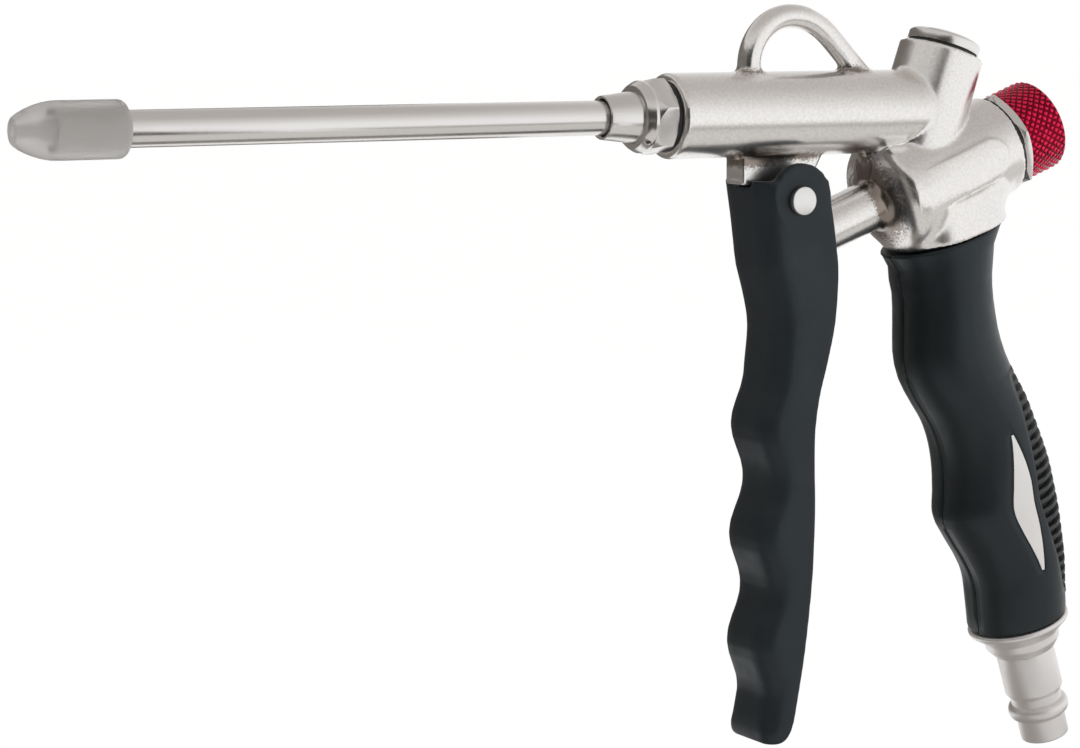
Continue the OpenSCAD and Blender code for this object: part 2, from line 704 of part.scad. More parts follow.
// Sloping drill way from the handle's socket to the wall of the valve chamber
module inlet_port() {
    along = seat_place + port_reach;
    low = chamber_dia / 2;
    target = cross + [
        along * cos(valve_tilt) + low * sin(valve_tilt), 0, along * sin(valve_tilt) - low * cos(valve_tilt)
    ];
    deep = socket_top + overrun;
    start = handle + [
        deep * sin(handle_tilt) + port_shift * cos(handle_tilt), 0,
        port_shift * sin(handle_tilt) - deep * cos(handle_tilt)
    ];
    way = target - start;
    translate(start) rotate([0, atan2(way[0], way[2]), 0]) cylinder(d = port_dia, h = norm(way) + port_dia);
}

module passage_plug() {
    turns = 6;
    dome = [
        for (i = [0:turns])
            let (a = 90 * i / turns)
            [plug_dia / 2 * cos(a), plug_ring + plug_rim + plug_dome * sin(a)]
    ];
    color([0.83, 0.82, 0.81]) on_boss(boss_length) difference() {
        union() {
            translate([0, 0, -plug_thread_length])
                cylinder(d = plug_thread_dia, h = plug_thread_length + plug_ring);
            rotate_extrude() polygon(concat([[0, plug_ring], [plug_dia / 2, plug_ring]], dome));
        }
        rotate([0, 0, slot_turn])
            translate([0, 0, plug_ring + plug_rim + plug_dome - slot_depth + plug_dia / 2])
            cube([plug_dia + 2 * overrun, slot_width, plug_dia], center = true);
    }
}

module plug_seal() {
    color([0.06, 0.06, 0.06]) on_boss(boss_length)
        tube(plug_dia - edge_break, plug_thread_dia + 2 * fit_gap, plug_ring);
}

module stem_guide() {
    color([0.72, 0.6, 0.32]) on_valve(-nose_reach + fit_gap)
        tube(gland_bore - 2 * fit_gap, stem_dia + 2 * run_gap, guide_length);
}

module stem_seal() {
    start = guide_length + 2 * fit_gap;
    color([0.1, 0.1, 0.1]) on_valve(-nose_reach + start)
        tube(gland_bore - 2 * fit_gap, stem_dia + 2 * run_gap, gland_depth - start - fit_gap);
}

module valve_stem() {
    tip = nose_reach + stem_shown - stem_dia / 2;
    color([0.74, 0.74, 0.75]) on_valve(-tip) {
        sphere(d = stem_dia);
        cylinder(d = stem_dia, h = tip + seat_place + poppet_length / 2);
    }
}

module valve_poppet() {
    seat_ring = seal_thickness - edge_break / 2;
    color([0.78, 0.66, 0.36]) on_valve(seat_place + edge_break / 2) difference() {
        union() {
            cylinder(d = poppet_dia, h = poppet_length - edge_break / 2);
            cylinder(d = poppet_tail_dia, h = poppet_length + poppet_tail - edge_break / 2);
        }
        translate([0, 0, -overrun])
            cylinder(d = stem_dia + 2 * fit_gap, h = poppet_length / 2 - edge_break / 2 + fit_gap + overrun);
        translate([0, 0, -overrun]) tube(poppet_dia - 2 * edge_break + 2 * fit_gap,
            stem_dia + 2 * edge_break - 2 * fit_gap, seat_ring + fit_gap + overrun);
    }
}

module poppet_seal() {
    color([0.12, 0.12, 0.13]) on_valve(seat_place + fit_gap)
        tube(poppet_dia - 2 * edge_break, stem_dia + 2 * edge_break, seal_thickness - fit_gap);
}

module valve_spring() {
    sides = 6;
    rings_a_turn = 14;
    count = spring_turns * rings_a_turn;
    low = poppet_back + spring_wire / 2 + fit_gap;
    high = sleeve_seat - spring_wire / 2 - fit_gap;
    coil = (spring_dia - spring_wire) / 2;
    color([0.6, 0.6, 0.62]) on_valve() loft([
        for (k = [0:count])
            let (a = 360 * k / rings_a_turn, z = low + (high - low) * k / count)
            [
                for (i = [0:sides - 1])
                    let (b = 360 * i / sides, r = coil + spring_wire / 2 * cos(b))
                    [r * cos(a), r * sin(a), z + spring_wire / 2 * sin(b)]
            ]
    ]);
}

module throttle_sleeve() {
    color([0.7, 0.58, 0.3]) on_valve(sleeve_front) difference() {
        cylinder(d = sleeve_dia, h = sleeve_length);
        translate([0, 0, -overrun])
            cylinder(d = sleeve_dia - 2 * sleeve_wall, h = sleeve_length - sleeve_floor + overrun);
        cylinder(d = spindle_end_dia + 2 * run_gap, h = sleeve_length + overrun);
    }
}

module sleeve_clip() {
    outer = spindle_end_dia + 2 * clip_wall;
    inner = spindle_end_dia - 2 * edge_break + 2 * fit_gap;
    color([0.5, 0.5, 0.52]) on_valve(sleeve_seat - clip_thickness - fit_gap) difference() {
        tube(outer, inner, clip_thickness);
        translate([0, -inner / 3, -overrun]) cube([outer, inner / 1.5, clip_thickness + 2 * overrun]);
    }
}

module throttle_spindle() {
    front = sleeve_seat - clip_thickness - edge_break;
    groove = spindle_end_dia - 2 * edge_break;
    end = knob_rear - knob_recess - fit_gap;
    color([0.74, 0.72, 0.7]) on_valve() difference() {
        union() {
            translate([0, 0, front]) cylinder(d = spindle_end_dia, h = end - front);
            translate([0, 0, sleeve_end + fit_gap])
                cylinder(d = spindle_dia, h = knob_front - sleeve_end - fit_gap);
        }
        translate([0, 0, sleeve_seat - clip_thickness - 2 * fit_gap])
            tube(spindle_end_dia + overrun, groove, clip_thickness + 2 * fit_gap);
        translate([0, 0, end - knob_length])
            cylinder(d = screw_dia + 2 * fit_gap, h = knob_length + overrun);
    }
}

module spindle_seal() {
    color([0.08, 0.08, 0.08]) on_valve(spindle_groove + fit_gap)
        tube(spindle_ring_dia, spindle_dia + 2 * run_gap, spindle_ring - 2 * fit_gap);
}

module bonnet_gland() {
    front = chamber_end + face_gap;
    color([0.8, 0.79, 0.78]) on_valve() difference() {
        union() {
            translate([0, 0, front]) cylinder(d = bonnet_thread_dia, h = bonnet_face - front);
            translate([0, 0, bonnet_face]) rotate([0, 0, nut_turn])
                hexagon(bonnet_flats, bonnet_thickness, chamfer_share, chamfer_share);
        }
        translate([0, 0, front - overrun])
            cylinder(d = chamber_dia + 2 * fit_gap, h = bonnet_inner - front + overrun);
        translate([0, 0, front]) cylinder(d = spindle_dia + 2 * run_gap, h = bonnet_rear - front + overrun);
        translate([0, 0, spindle_groove]) cylinder(d = spindle_ring_dia + 2 * fit_gap, h = spindle_ring);
    }
}

module bonnet_seal() {
    color([0.06, 0.06, 0.06]) on_valve(housing_rear)
        tube(housing_rear_dia - 2 * edge_break, bonnet_thread_dia + 2 * fit_gap, bonnet_ring);
}

module flow_knob() {
    ridge = [
        for (i = [0:2 * knurl_count - 1])
            let (a = 180 * i / knurl_count, r = knob_dia / 2 - (i % 2) * knurl_depth)
            [r * cos(a), r * sin(a)]
    ];
    color([0.62, 0.05, 0.12]) on_valve(knob_front) difference() {
        intersection() {
            linear_extrude(knob_length) polygon(ridge);
            rotate_extrude() polygon([
                [0, 0], [knob_dia / 2 - edge_break, 0], [knob_dia / 2 + overrun, edge_break + overrun],
                [knob_dia / 2 + overrun, knob_length - knob_chamfer - overrun],
                [knob_dia / 2 - knob_chamfer, knob_length], [0, knob_length]
            ]);
        }
        translate([0, 0, -overrun])
            cylinder(d = spindle_end_dia + 2 * fit_gap, h = knob_length + 2 * overrun);
        translate([0, 0, knob_length - knob_recess])
            cylinder(d = screw_head_dia + 2 * edge_break, h = knob_recess + overrun);
    }
}

module knob_screw() {
    floor = knob_rear - knob_recess;
    color([0.7, 0.7, 0.72]) on_valve(floor) difference() {
        union() {
            cylinder(d = screw_head_dia, h = screw_head);
            translate([0, 0, -knob_length + 2 * edge_break]) cylinder(d = screw_dia, h = knob_length);
        }
        translate([-screw_head_dia, -edge_break, screw_head / 2])
            cube([2 * screw_head_dia, 2 * edge_break, screw_head]);
    }
}

function finger(d) = d < finger_reach ? pow(cos(90 * d / finger_reach), 2) : 0;
function fingers(u) = [for (c = finger_shares) finger(abs(u - c) * lever_reach)];
function lever_front(u) =
    -lever_depth * curve(lever_front_shares, u) - finger_height * (fingers(u) * [1, 1, 1]);
function lever_rear(u) = lever_depth * curve(lever_rear_shares, u);

module trigger_lever() {
    rows = 44;
    corners = 5;
    top = -wall_top / lever_reach;
    low = lever_round;
    half = lever_width / 2;
    rear_break = edge_break * 1.5;
    function row(u) =
        let (
            z = -u * lever_reach, foot = max(0, low - (lever_reach + z)) / low,
            tuck = low * (1 - sqrt(1 - foot * foot)) * 0.35,
            f = lever_front(u) + tuck, r = lever_rear(u) - tuck,
            w = half - tuck, c = lever_round * (1 - foot / 2)
        )
        [
            [r - rear_break, -w, z], [r, -w + rear_break, z], [r, w - rear_break, z], [r - rear_break, w, z],
            for (a = steps(90, 180, corners)) [f + c + c * cos(a), w - c + c * sin(a), z],
            for (a = steps(180, 270, corners)) [f + c + c * cos(a), c - w + c * sin(a), z]
        ];
    places = concat(
        [for (i = [0:3]) 1 - low / lever_reach * pow(i / 4, 2)],
        steps(1 - low / lever_reach, top, rows)
    );
    inner = [
        for (u = steps(top, 0.955, 24))
            [lever_front(u) + lever_front_wall, -u * lever_reach]
    ];
    pad_face = nose_reach + stem_shown + face_gap;
    pad_z = cross[2] - pivot[2] - pad_face * sin(valve_tilt);
    wall_face = lever_front(-pad_z / lever_reach) + lever_front_wall;
    pad_height = (cross[0] - pivot[0] - wall_face) / cos(valve_tilt) - pad_face + lever_front_wall / 2;
    color([0.17, 0.18, 0.19]) difference() {
        union() {
            difference() {
                translate(pivot) {
                    loft([for (u = places) row(u)]);
                    across([ear_offset, 0, ear_offset], lever_width)
                        cylinder(r = ear_radius, h = lever_width);
                }
                across(pivot, channel_width) linear_extrude(channel_width) polygon(concat(
                    [[lever_depth, lever_depth], [lever_front(top) + lever_front_wall, lever_depth]],
                    inner,
                    [for (x = [lever_rear(1) - edge_break, lever_depth]) [x, -0.985 * lever_reach]]
                ));
            }
            on_valve(-pad_face - pad_height) cylinder(d = push_pad_dia, h = pad_height);
        }
        across(pivot, lug_width + 2 * lever_clear) linear_extrude(lug_width + 2 * lever_clear) polygon([
            [-lever_depth, lug_tab_bottom - lever_clear],
            [-lug_boss_dia / 2 - lever_clear, lug_tab_bottom - lever_clear],
            [-lug_boss_dia / 2 - lever_clear, lever_depth], [-lever_depth, lever_depth]
        ]);
        across(pivot, 2 * lever_width) cylinder(d = pin_dia + 2 * run_gap, h = 2 * lever_width);
    }
}

module pivot_pin() {
    half = lever_width / 2 + run_gap;
    color([0.85, 0.85, 0.85]) translate(pivot) rotate([90, 0, 0]) difference() {
        union() {
            translate([0, 0, -half - pin_end]) cylinder(d = pin_dia, h = 2 * half + pin_end);
            translate([0, 0, half]) cylinder(d = pin_head_dia, h = pin_head);
        }
        translate([0, 0, -half - clip_thickness - 2 * fit_gap])
            tube(pin_dia + overrun, pin_dia - 2 * edge_break, clip_thickness + fit_gap);
    }
}

module pin_clip() {
    inner = pin_dia - 2 * edge_break + 2 * fit_gap;
    side = lever_width / 2 + run_gap + fit_gap;
    color([0.55, 0.55, 0.57]) translate(pivot + [0, side, 0]) rotate([-90, 0, 0]) difference() {
        tube(clip_dia, inner, clip_thickness);
        translate([-inner / 3, 0, -overrun]) cube([inner / 1.5, clip_dia, clip_thickness + 2 * overrun]);
    }
}

module core_tube() {
    color([0.7, 0.7, 0.7]) on_handle(core_top) tube(core_dia, core_bore, core_end - core_top);
}

// A point of the grip's skin, at a distance down the handle and an angle from its rear line
function skin(z, a, sink = 0) =
    let (
        u = (z - grip_top) / grip_length, f = curve(grip_front_shares, u) * grip_depth,
        r = curve(grip_rear_shares, u) * grip_depth, b = curve(grip_side_shares, u) * grip_width / 2,
        d = max(0, grip_round - min(z - grip_top, grip_end - z)) / grip_round,
        s = sink + grip_round * (1 - sqrt(1 - d * d)) * 0.8
    )
    [(f - r) / 2 - ((f + r) / 2 - s) * cos(a), -(b - s) * sin(a), z];
function within(z, shares) =
    let (t = ((z - grip_top) / grip_length - shares[0]) / (shares[1] - shares[0]))
    min(1, max(0, t));
function rise(t, power) = pow(max(0, sin(180 * t)), power);
function recess(z, shares, depth) = let (t = within(z, shares)) depth * min(1, 14 * min(t, 1 - t));
function inlay_rear(z) = inlay_angle - least_angle - inlay_swell[0] * rise(within(z, inlay_shares), 1);
function inlay_front(z) = inlay_angle + least_angle + inlay_swell[1] * rise(within(z, inlay_shares), 1.2);
// The strip stays clear of the inlay
function strip_edge(z) = min(
    inlay_rear(z) - 3 * wall_angle,
    strip_angles[0] + (strip_angles[1] - strip_angles[0]) * rise(within(z, strip_shares), 0.35)
);

module grip_shell() {
    places = concat(
        [for (i = [0:2]) grip_top + grip_round * pow(i / 3, 2)],
        steps(grip_top + grip_round, strip_low, 10),
        [for (m = rib_marks) m[0]],
        steps(strip_high, grip_end - grip_round, 1),
        [for (i = [2:-1:0]) grip_end - grip_round * pow(i / 3, 2)]
    );
    on_handle() difference() {
        loft([
            for (z = places)
                let (
                    w = strip_edge(z), q = inlay_rear(z), p = inlay_front(z),
                    cut = recess(z, strip_shares, strip_depth), dip = recess(z, inlay_shares, inlay_depth),
                    ring = concat(
                        [for (a = steps(0, w, 6)) skin(z, a, cut)],
                        [for (a = steps(w + wall_angle, q - wall_angle, 5)) skin(z, a)],
                        [for (a = steps(q, p, 3)) skin(z, a, dip)],
                        [for (a = steps(p + wall_angle, 180 - wall_angle, 9)) skin(z, a)],
                        [skin(z, 180, seam_width)]
                    )
                )
                [for (v = ring) [v[0], min(v[1], -seam_width / 2), z]]
        ]);
        translate([0, 0, grip_top - overrun])
            cylinder(d = core_dia + 2 * fit_gap, h = grip_length + 2 * overrun);
    }
}

module grip_shell_near() { color([0.12, 0.13, 0.14]) grip_shell(); }
module grip_shell_far() { color([0.12, 0.13, 0.14]) mirror([0, 1, 0]) grip_shell(); }

module grip_back_strip() {
    color([0.2, 0.21, 0.22]) on_handle() band([
        for (m = rib_marks)
            let (
                z = m[0], w = strip_edge(z) - wall_angle,
                low = recess(z, strip_shares, strip_depth) - 2 * fit_gap,
                top = min(m[1] * recess(z, strip_shares, rib_depth) - edge_break / 4, low - least_wall)
            )
            concat(
                [for (i = [0:12]) skin(z, w * (i / 6 - 1), i % 12 == 0 ? (top + low) / 2 : top)],
                [for (a = steps(w, -w, 12)) skin(z, a, low)]
            )
    ]);
}

module inlay() {
    low = grip_top + grip_length * inlay_shares[0];
    high = grip_top + grip_length * inlay_shares[1];
    on_handle() band([
        for (m = rib_marks)
            let (z = m[0], q = inlay_rear(z) + wall_angle / 4, p = inlay_front(z) - wall_angle / 4)
            if (z > low + edge_break && z < high - edge_break)
            concat(
                [for (a = steps(q, p, 3)) skin(z, a, -fit_gap)],
                [for (a = steps(p, q, 3)) skin(z, a, recess(z, inlay_shares, inlay_depth) - 2 * fit_gap)]
            )
    ]);
}

module inlay_near() { color([0.8, 0.79, 0.77]) inlay(); }
module inlay_far() { color([0.8, 0.79, 0.77]) mirror([0, 1, 0]) inlay(); }

module end_collar() {
    step_r = end_step_dia / 2;
    cone_r = nipple_dia / 2 + edge_break;
    color([0.77, 0.76, 0.74]) on_handle() difference() {
        rotate_extrude() polygon([
            [0, collar_top], [collar_dia / 2 - edge_break / 2, collar_top],
            [collar_dia / 2, collar_top + edge_break], [collar_dia / 2, collar_top + end_rim],
            [step_r + edge_break, step_top], [step_r, step_top + edge_break],
            [step_r, step_top + end_step / 2], [cone_r, collar_end], [0, collar_end]
        ]);
        translate([0, 0, collar_top - overrun])
            cylinder(d = core_dia + 2 * fit_gap, h = core_end - collar_top + fit_gap + overrun);
        translate([0, 0, collar_top]) cylinder(d = core_bore, h = collar_end - collar_top);
        translate([0, 0, spigot_top])
            cylinder(d = spigot_dia + 2 * fit_gap, h = collar_end - spigot_top + overrun);
    }
}

module nipple_seal() {
    color([0.1, 0.1, 0.1]) on_handle(spigot_top + fit_gap / 2)
        tube(spigot_dia, core_bore + edge_break, seal_height);
}

module inlet_nipple() {
    spigot = spigot_top + seal_height + fit_gap;
    body_end = collar_end + nipple_body;
    neck_end_z = body_end + nipple_neck;
    ring_end = neck_end_z + nipple_ring;
    tip_end = ring_end + nipple_tip;
    slope = (nipple_dia - nipple_neck_dia) / 2;
    color([0.78, 0.76, 0.75]) on_handle() difference() {
        rotate_extrude() polygon([
            [0, spigot], [spigot_dia / 2, spigot], [spigot_dia / 2, collar_end + fit_gap],
            [nipple_dia / 2, collar_end + fit_gap], [nipple_dia / 2, body_end - slope],
            [nipple_neck_dia / 2, body_end], [nipple_neck_dia / 2, neck_end_z],
            [nipple_ring_dia / 2, neck_end_z + edge_break], [nipple_ring_dia / 2, ring_end - edge_break],
            [nipple_tip_dia / 2, ring_end + slope], [nipple_tip_dia / 2, tip_end - edge_break],
            [nipple_tip_dia / 2 - edge_break, tip_end], [0, tip_end]
        ]);
        translate([0, 0, spigot - overrun]) cylinder(d = nipple_bore, h = tip_end - spigot + 2 * overrun);
    }
}

nozzle_tip();
nozzle_tube();
nozzle_ferrule();
nozzle_nut();
nozzle_ring_seal();
body_casting();
passage_plug();
plug_seal();
stem_guide();
stem_seal();
valve_stem();
valve_poppet();
poppet_seal();
valve_spring();
throttle_sleeve();
sleeve_clip();
throttle_spindle();
spindle_seal();
bonnet_gland();
bonnet_seal();
flow_knob();
knob_screw();
trigger_lever();
pivot_pin();
pin_clip();
core_tube();
grip_shell_near();
grip_shell_far();
grip_back_strip();
inlay_near();
inlay_far();
end_collar();
nipple_seal();
inlet_nipple();
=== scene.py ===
import math

import bmesh
import bpy
import numpy as np
from mathutils import Matrix, Vector


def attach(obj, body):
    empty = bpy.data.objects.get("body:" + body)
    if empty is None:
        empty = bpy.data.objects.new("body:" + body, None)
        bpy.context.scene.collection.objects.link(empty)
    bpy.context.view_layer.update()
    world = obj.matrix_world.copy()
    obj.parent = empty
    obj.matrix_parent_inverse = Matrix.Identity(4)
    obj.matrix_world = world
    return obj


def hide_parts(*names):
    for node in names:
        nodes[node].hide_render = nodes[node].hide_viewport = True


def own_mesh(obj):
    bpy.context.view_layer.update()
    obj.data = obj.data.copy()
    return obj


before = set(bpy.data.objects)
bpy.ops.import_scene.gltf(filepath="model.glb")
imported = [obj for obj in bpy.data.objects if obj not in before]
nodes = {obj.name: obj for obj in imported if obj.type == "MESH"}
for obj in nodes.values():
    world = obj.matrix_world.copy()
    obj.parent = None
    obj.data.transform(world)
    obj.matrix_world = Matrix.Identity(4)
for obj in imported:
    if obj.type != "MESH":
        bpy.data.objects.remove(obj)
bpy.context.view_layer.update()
mm = 0.001
print("stage 1: frame loaded,", len(nodes), "nodes")


# Places of the gun's axes as the part's source lays them out, in metres and degrees
axes = {
    "cross": Vector((184.6, 0, -15.7)) * mm,      # where the valve's passages meet
    "valveTilt": 20.0,
    "bossTilt": 19.5,
    "handleTilt": 17.6,
    "handlePlace": 3.2 * mm,                      # along the valve's axis from the cross
    "pivot": Vector((155.1, 0, -16.3)) * mm,      # the lever's pin
}


def spun(origin, angle):
    # local Z along the turned axis, local Y kept across the gun
    return Matrix.Translation(origin) @ Matrix.Rotation(math.radians(angle), 4, "Y")


onValve = spun(axes["cross"], 90 - axes["valveTilt"])
onBoss = spun(axes["cross"], axes["bossTilt"])
handleStart = onValve @ Vector((0, 0, axes["handlePlace"]))
onHandle = spun(handleStart, 180 - axes["handleTilt"])


# Helpers for meshes
def linked(name, data):
    made = bpy.data.objects.new(name, data)
    bpy.context.scene.collection.objects.link(made)
    return made


def newObject(name, mesh, body, replaced, material, sharp=35):
    # a piece that rides on a body and stands for the replaced nodes
    piece = linked(name, mesh)
    mesh.shade_smooth()
    mesh.set_sharp_from_angle(angle=math.radians(sharp))
    mesh.materials.clear()
    mesh.materials.append(material)
    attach(piece, body)
    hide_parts(*replaced)
    return piece


def meshFrom(name, points, faces, matrix=None):
    mesh = bpy.data.meshes.new(name)
    mesh.from_pydata([tuple(p) for p in points], [], [tuple(f) for f in faces])
    if matrix is not None:
        mesh.transform(matrix)
    mesh.validate()
    mesh.update()
    return mesh


def marked(mesh, name, amounts):
    # a number for every point, which the material reads
    held = mesh.attributes.new(name, "FLOAT", "POINT")
    held.data.foreach_set("value", amounts)


def rounded(profile, radius, steps=3, straight=170):
    # breaks the corners of an open profile of (r, z) points with small arcs
    out = [profile[0]]
    for before, here, after in zip(profile, profile[1:], profile[2:]):
        a = Vector(before) - Vector(here)
        b = Vector(after) - Vector(here)
        reach = min(radius, a.length * 0.45, b.length * 0.45)
        if a.angle(b, math.pi) > math.radians(straight) or reach < 1e-6:
            out.append(here)
            continue
        start = Vector(here) + a.normalized() * reach
        end = Vector(here) + b.normalized() * reach
        for i in range(steps + 1):
            t = i / steps
            p = start * (1 - t) ** 2 + Vector(here) * 2 * t * (1 - t) + end * t * t
            out.append((p.x, p.y))
    out.append(profile[-1])
    return out


def onCircle(profile, angle):
    # an (r, z) profile in millimetres, set at an angle about Z
    return [(r * math.cos(angle) * mm, r * math.sin(angle) * mm, z * mm) for r, z in profile]


def wrapped(sides, count):
    # the faces between neighbouring closed profiles all the way round
    faces = []
    for k in range(sides):
        near, far = k * count, (k + 1) % sides * count
        for i in range(count):
            j = (i + 1) % count
            faces.append((near + i, far + i, far + j, near + j))
    return faces


def turned(name, profile, matrix, sides=96):
    # a closed profile turned about Z
    points = []
    for k in range(sides):
        points += onCircle(profile, 2 * math.pi * k / sides)
    return meshFrom(name, points, wrapped(sides, len(profile)), matrix)


def cadCopy(node, name, merge=2e-6, flat=0.6):
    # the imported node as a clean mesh: merged points, flat faces joined
    mesh = nodes[node].data.copy()
    mesh.name = name
    work = bmesh.new()
    work.from_mesh(mesh)
    bmesh.ops.remove_doubles(work, verts=work.verts, dist=merge)
    bmesh.ops.dissolve_limit(work, angle_limit=math.radians(flat), verts=work.verts, edges=work.edges)
    bmesh.ops.recalc_face_normals(work, faces=work.faces)
    work.to_mesh(mesh)
    work.free()
    return mesh


def finished(piece):
    # the mesh of a piece with its modifiers applied
    bpy.context.view_layer.update()
    graph = bpy.context.evaluated_depsgraph_get()
    return bpy.data.meshes.new_from_object(piece.evaluated_get(graph))


def bevelled(node, body, slot, material, width, angle=28, name=None):
    name = (name or node) + "Soft"
    work = linked("work", cadCopy(node, name))
    bevel = work.modifiers.new("edge", "BEVEL")
    bevel.width = width * mm
    bevel.segments = 2
    bevel.limit_method = "ANGLE"
    bevel.angle_limit = math.radians(angle)
    mesh = finished(work)
    bpy.data.objects.remove(work)
    newObject(name, mesh, body, (node,), material)


def remeshed(node, voxel):
    work = linked("work", cadCopy(node, "work"))
    remesh = work.modifiers.new("remesh", "REMESH")
    remesh.mode = "VOXEL"
    remesh.voxel_size = voxel * mm
    mesh = finished(work)
    bpy.data.objects.remove(work)
    return mesh


class Soft:
    # smoothing of a dense mesh in numpy

    def __init__(self, mesh):
        self.mesh = mesh
        self.count = len(mesh.vertices)
        self.p = np.zeros(self.count * 3)
        mesh.vertices.foreach_get("co", self.p)
        self.p = self.p.reshape(-1, 3)
        edges = np.zeros(len(mesh.edges) * 2, int)
        mesh.edges.foreach_get("vertices", edges)
        self.a, self.b = edges.reshape(-1, 2).T
        self.degree = np.bincount(np.r_[self.a, self.b], minlength=self.count)

    def spread(self, values):
        out = np.zeros(values.shape)
        for c in range(values.shape[1]):
            out[:, c] = (np.bincount(self.a, values[self.b, c], self.count)
                         + np.bincount(self.b, values[self.a, c], self.count))
        return out / self.degree[:, None]

    def blurred(self, values, rounds):
        for _ in range(rounds):
            values = 0.5 * values + 0.5 * self.spread(values)
        return values

    def normals(self):
        self.mesh.vertices.foreach_set("co", self.p.ravel())
        self.mesh.update()
        n = np.zeros(self.count * 3)
        self.mesh.vertex_normals.foreach_get("vector", n)
        return n.reshape(-1, 3)

    def even(self, rounds, weight):
        for _ in range(rounds):
            self.p += (self.spread(self.p) - self.p) * 0.5 * weight[:, None]

    def fillet(self, rounds, weight, pull=0.9, refresh=8):
        # only moves points out of hollows, so outer edges keep their shape
        start = self.p.copy()
        for i in range(rounds):
            if i % refresh == 0:
                n = self.normals()
            out = ((self.spread(self.p) - self.p) * n).sum(1)
            self.p += n * (np.maximum(out, 0) * pull * weight)[:, None]
        self.normals()
        return np.linalg.norm(self.p - start, axis=1)


# Helpers for materials, then the materials
def material(name):
    made = bpy.data.materials.new(name)
    made.use_nodes = True
    tree = made.node_tree
    shader = tree.nodes["Principled BSDF"]

    def add(kind, **settings):
        node = tree.nodes.new(kind)
        for key, value in settings.items():
            setattr(node, key, value)
        return node

    return made, tree, shader, add


def noise(add, tree, scale, detail=4.0, roughness=0.5, stretch=(1, 1, 1)):
    where = add("ShaderNodeTexCoord")
    mapping = add("ShaderNodeMapping")
    mapping.inputs["Scale"].default_value = stretch
    made = add("ShaderNodeTexNoise")
    made.inputs["Scale"].default_value = scale
    made.inputs["Detail"].default_value = detail
    made.inputs["Roughness"].default_value = roughness
    tree.links.new(where.outputs["Object"], mapping.inputs["Vector"])
    tree.links.new(mapping.outputs["Vector"], made.inputs["Vector"])
    return made.outputs["Fac"]


def ramp(add, tree, source, low, high, start=0.3, end=0.7):
    # from one colour to the other; the two places lie between 0 and 1
    made = add("ShaderNodeValToRGB")
    made.color_ramp.interpolation = "EASE"
    for cell, place, colour in zip(made.color_ramp.elements, (start, end), (low, high)):
        cell.position = place
        cell.color = (*colour, 1)
    tree.links.new(source, made.inputs["Fac"])
    return made.outputs["Color"]


def grey(v):
    return (v, v, v)


def painted(add, tree, share, tone, colour):
    # a second colour over the tone, as far as the share says
    mixed = add("ShaderNodeMix", data_type="RGBA")
    tree.links.new(share, mixed.inputs[0])
    tree.links.new(tone, mixed.inputs[6])
    mixed.inputs[7].default_value = (*colour, 1)
    return mixed.outputs[2]


def wander(add, tree, shader, scale, low, high):
    # roughness that drifts between two values
    drift = ramp(add, tree, noise(add, tree, scale, 4), grey(low), grey(high))
    tree.links.new(drift, shader.inputs["Roughness"])


def bump(add, tree, shader, source, strength, distance=0.02):
    made = add("ShaderNodeBump")
    made.inputs["Strength"].default_value = strength
    made.inputs["Distance"].default_value = distance * mm
    tree.links.new(source, made.inputs["Height"])
    tree.links.new(made.outputs["Normal"], shader.inputs["Normal"])


def metal(name, values):
    made, tree, shader, add = material(name)
    shader.inputs["Metallic"].default_value = values.get("metallic", 1.0)
    stretch = values.get("stretch", (1, 1, 1))
    cloud = noise(add, tree, values["cloudScale"], values.get("detail", 5), 0.6, stretch)
    tone = ramp(add, tree, cloud, values["dark"], values["light"])
    if "creviceShade" in values:
        # painted shade: a darker tone held in the hollows, on the casting with some soot, broken up by a fine noise
        sootAndShade = values["creviceShade"]
        held = add("ShaderNodeAttribute", attribute_name="creviceShade")
        broken = add("ShaderNodeMath", operation="MULTIPLY_ADD")
        tree.links.new(held.outputs["Fac"], broken.inputs[0])
        broken.inputs[1].default_value = sootAndShade["gain"]
        tree.links.new(noise(add, tree, sootAndShade["scale"], 3, 0.7), broken.inputs[2])
        share = ramp(add, tree, broken.outputs[0], grey(0), grey(1), sootAndShade["from"], sootAndShade["to"])
        tone = painted(add, tree, share, tone, sootAndShade["colour"])
    tree.links.new(tone, shader.inputs["Base Color"])
    wander(add, tree, shader, values["cloudScale"] * 2.3, *values["roughness"])
    grain = noise(add, tree, values["grainScale"], 3, 0.6, values.get("grainStretch", (1, 1, 1)))
    bump(add, tree, shader, grain, values["grain"], values.get("grainDepth", 0.02))
    return made


def soft(name, values):
    # rubber or coat: a dielectric with a fine grain
    made, tree, shader, add = material(name)
    cloud = noise(add, tree, values["cloudScale"], 4)
    tone = ramp(add, tree, cloud, values["dark"], values["light"])
    if "groove" in values:
        # painted shade: the bottoms of the grooves are nearly black
        held = add("ShaderNodeAttribute", attribute_name="groove")
        tone = painted(add, tree, held.outputs["Fac"], tone, values["groove"])
    tree.links.new(tone, shader.inputs["Base Color"])
    wander(add, tree, shader, values["cloudScale"] * 3, *values["roughness"])
    shader.inputs["Specular IOR Level"].default_value = values.get("specular", 0.5)
    shader.inputs["Specular Tint"].default_value = (*values.get("tint", (1, 1, 1)), 1)
    bump(add, tree, shader, noise(add, tree, values["grainScale"], 3, 0.6), values["grain"])
    return made


def milkyTip(name, values):
    # a soft clear plastic that scatters the light inside
    made, tree, shader, add = material(name)
    cloud = noise(add, tree, values["cloudScale"], 4)
    tone = ramp(add, tree, cloud, values["dark"], values["light"])
    tree.links.new(tone, shader.inputs["Base Color"])
    wander(add, tree, shader, values["cloudScale"] * 2, *values["roughness"])
    shader.inputs["IOR"].default_value = values["ior"]
    shader.inputs["Transmission Weight"].default_value = values["clear"]
    shader.inputs["Subsurface Weight"].default_value = values["glow"]
    shader.inputs["Subsurface Radius"].default_value = values["glowReach"]
    shader.inputs["Subsurface Scale"].default_value = 1 * mm
    bump(add, tree, shader, noise(add, tree, values["grainScale"], 3), values["grain"])
    return made


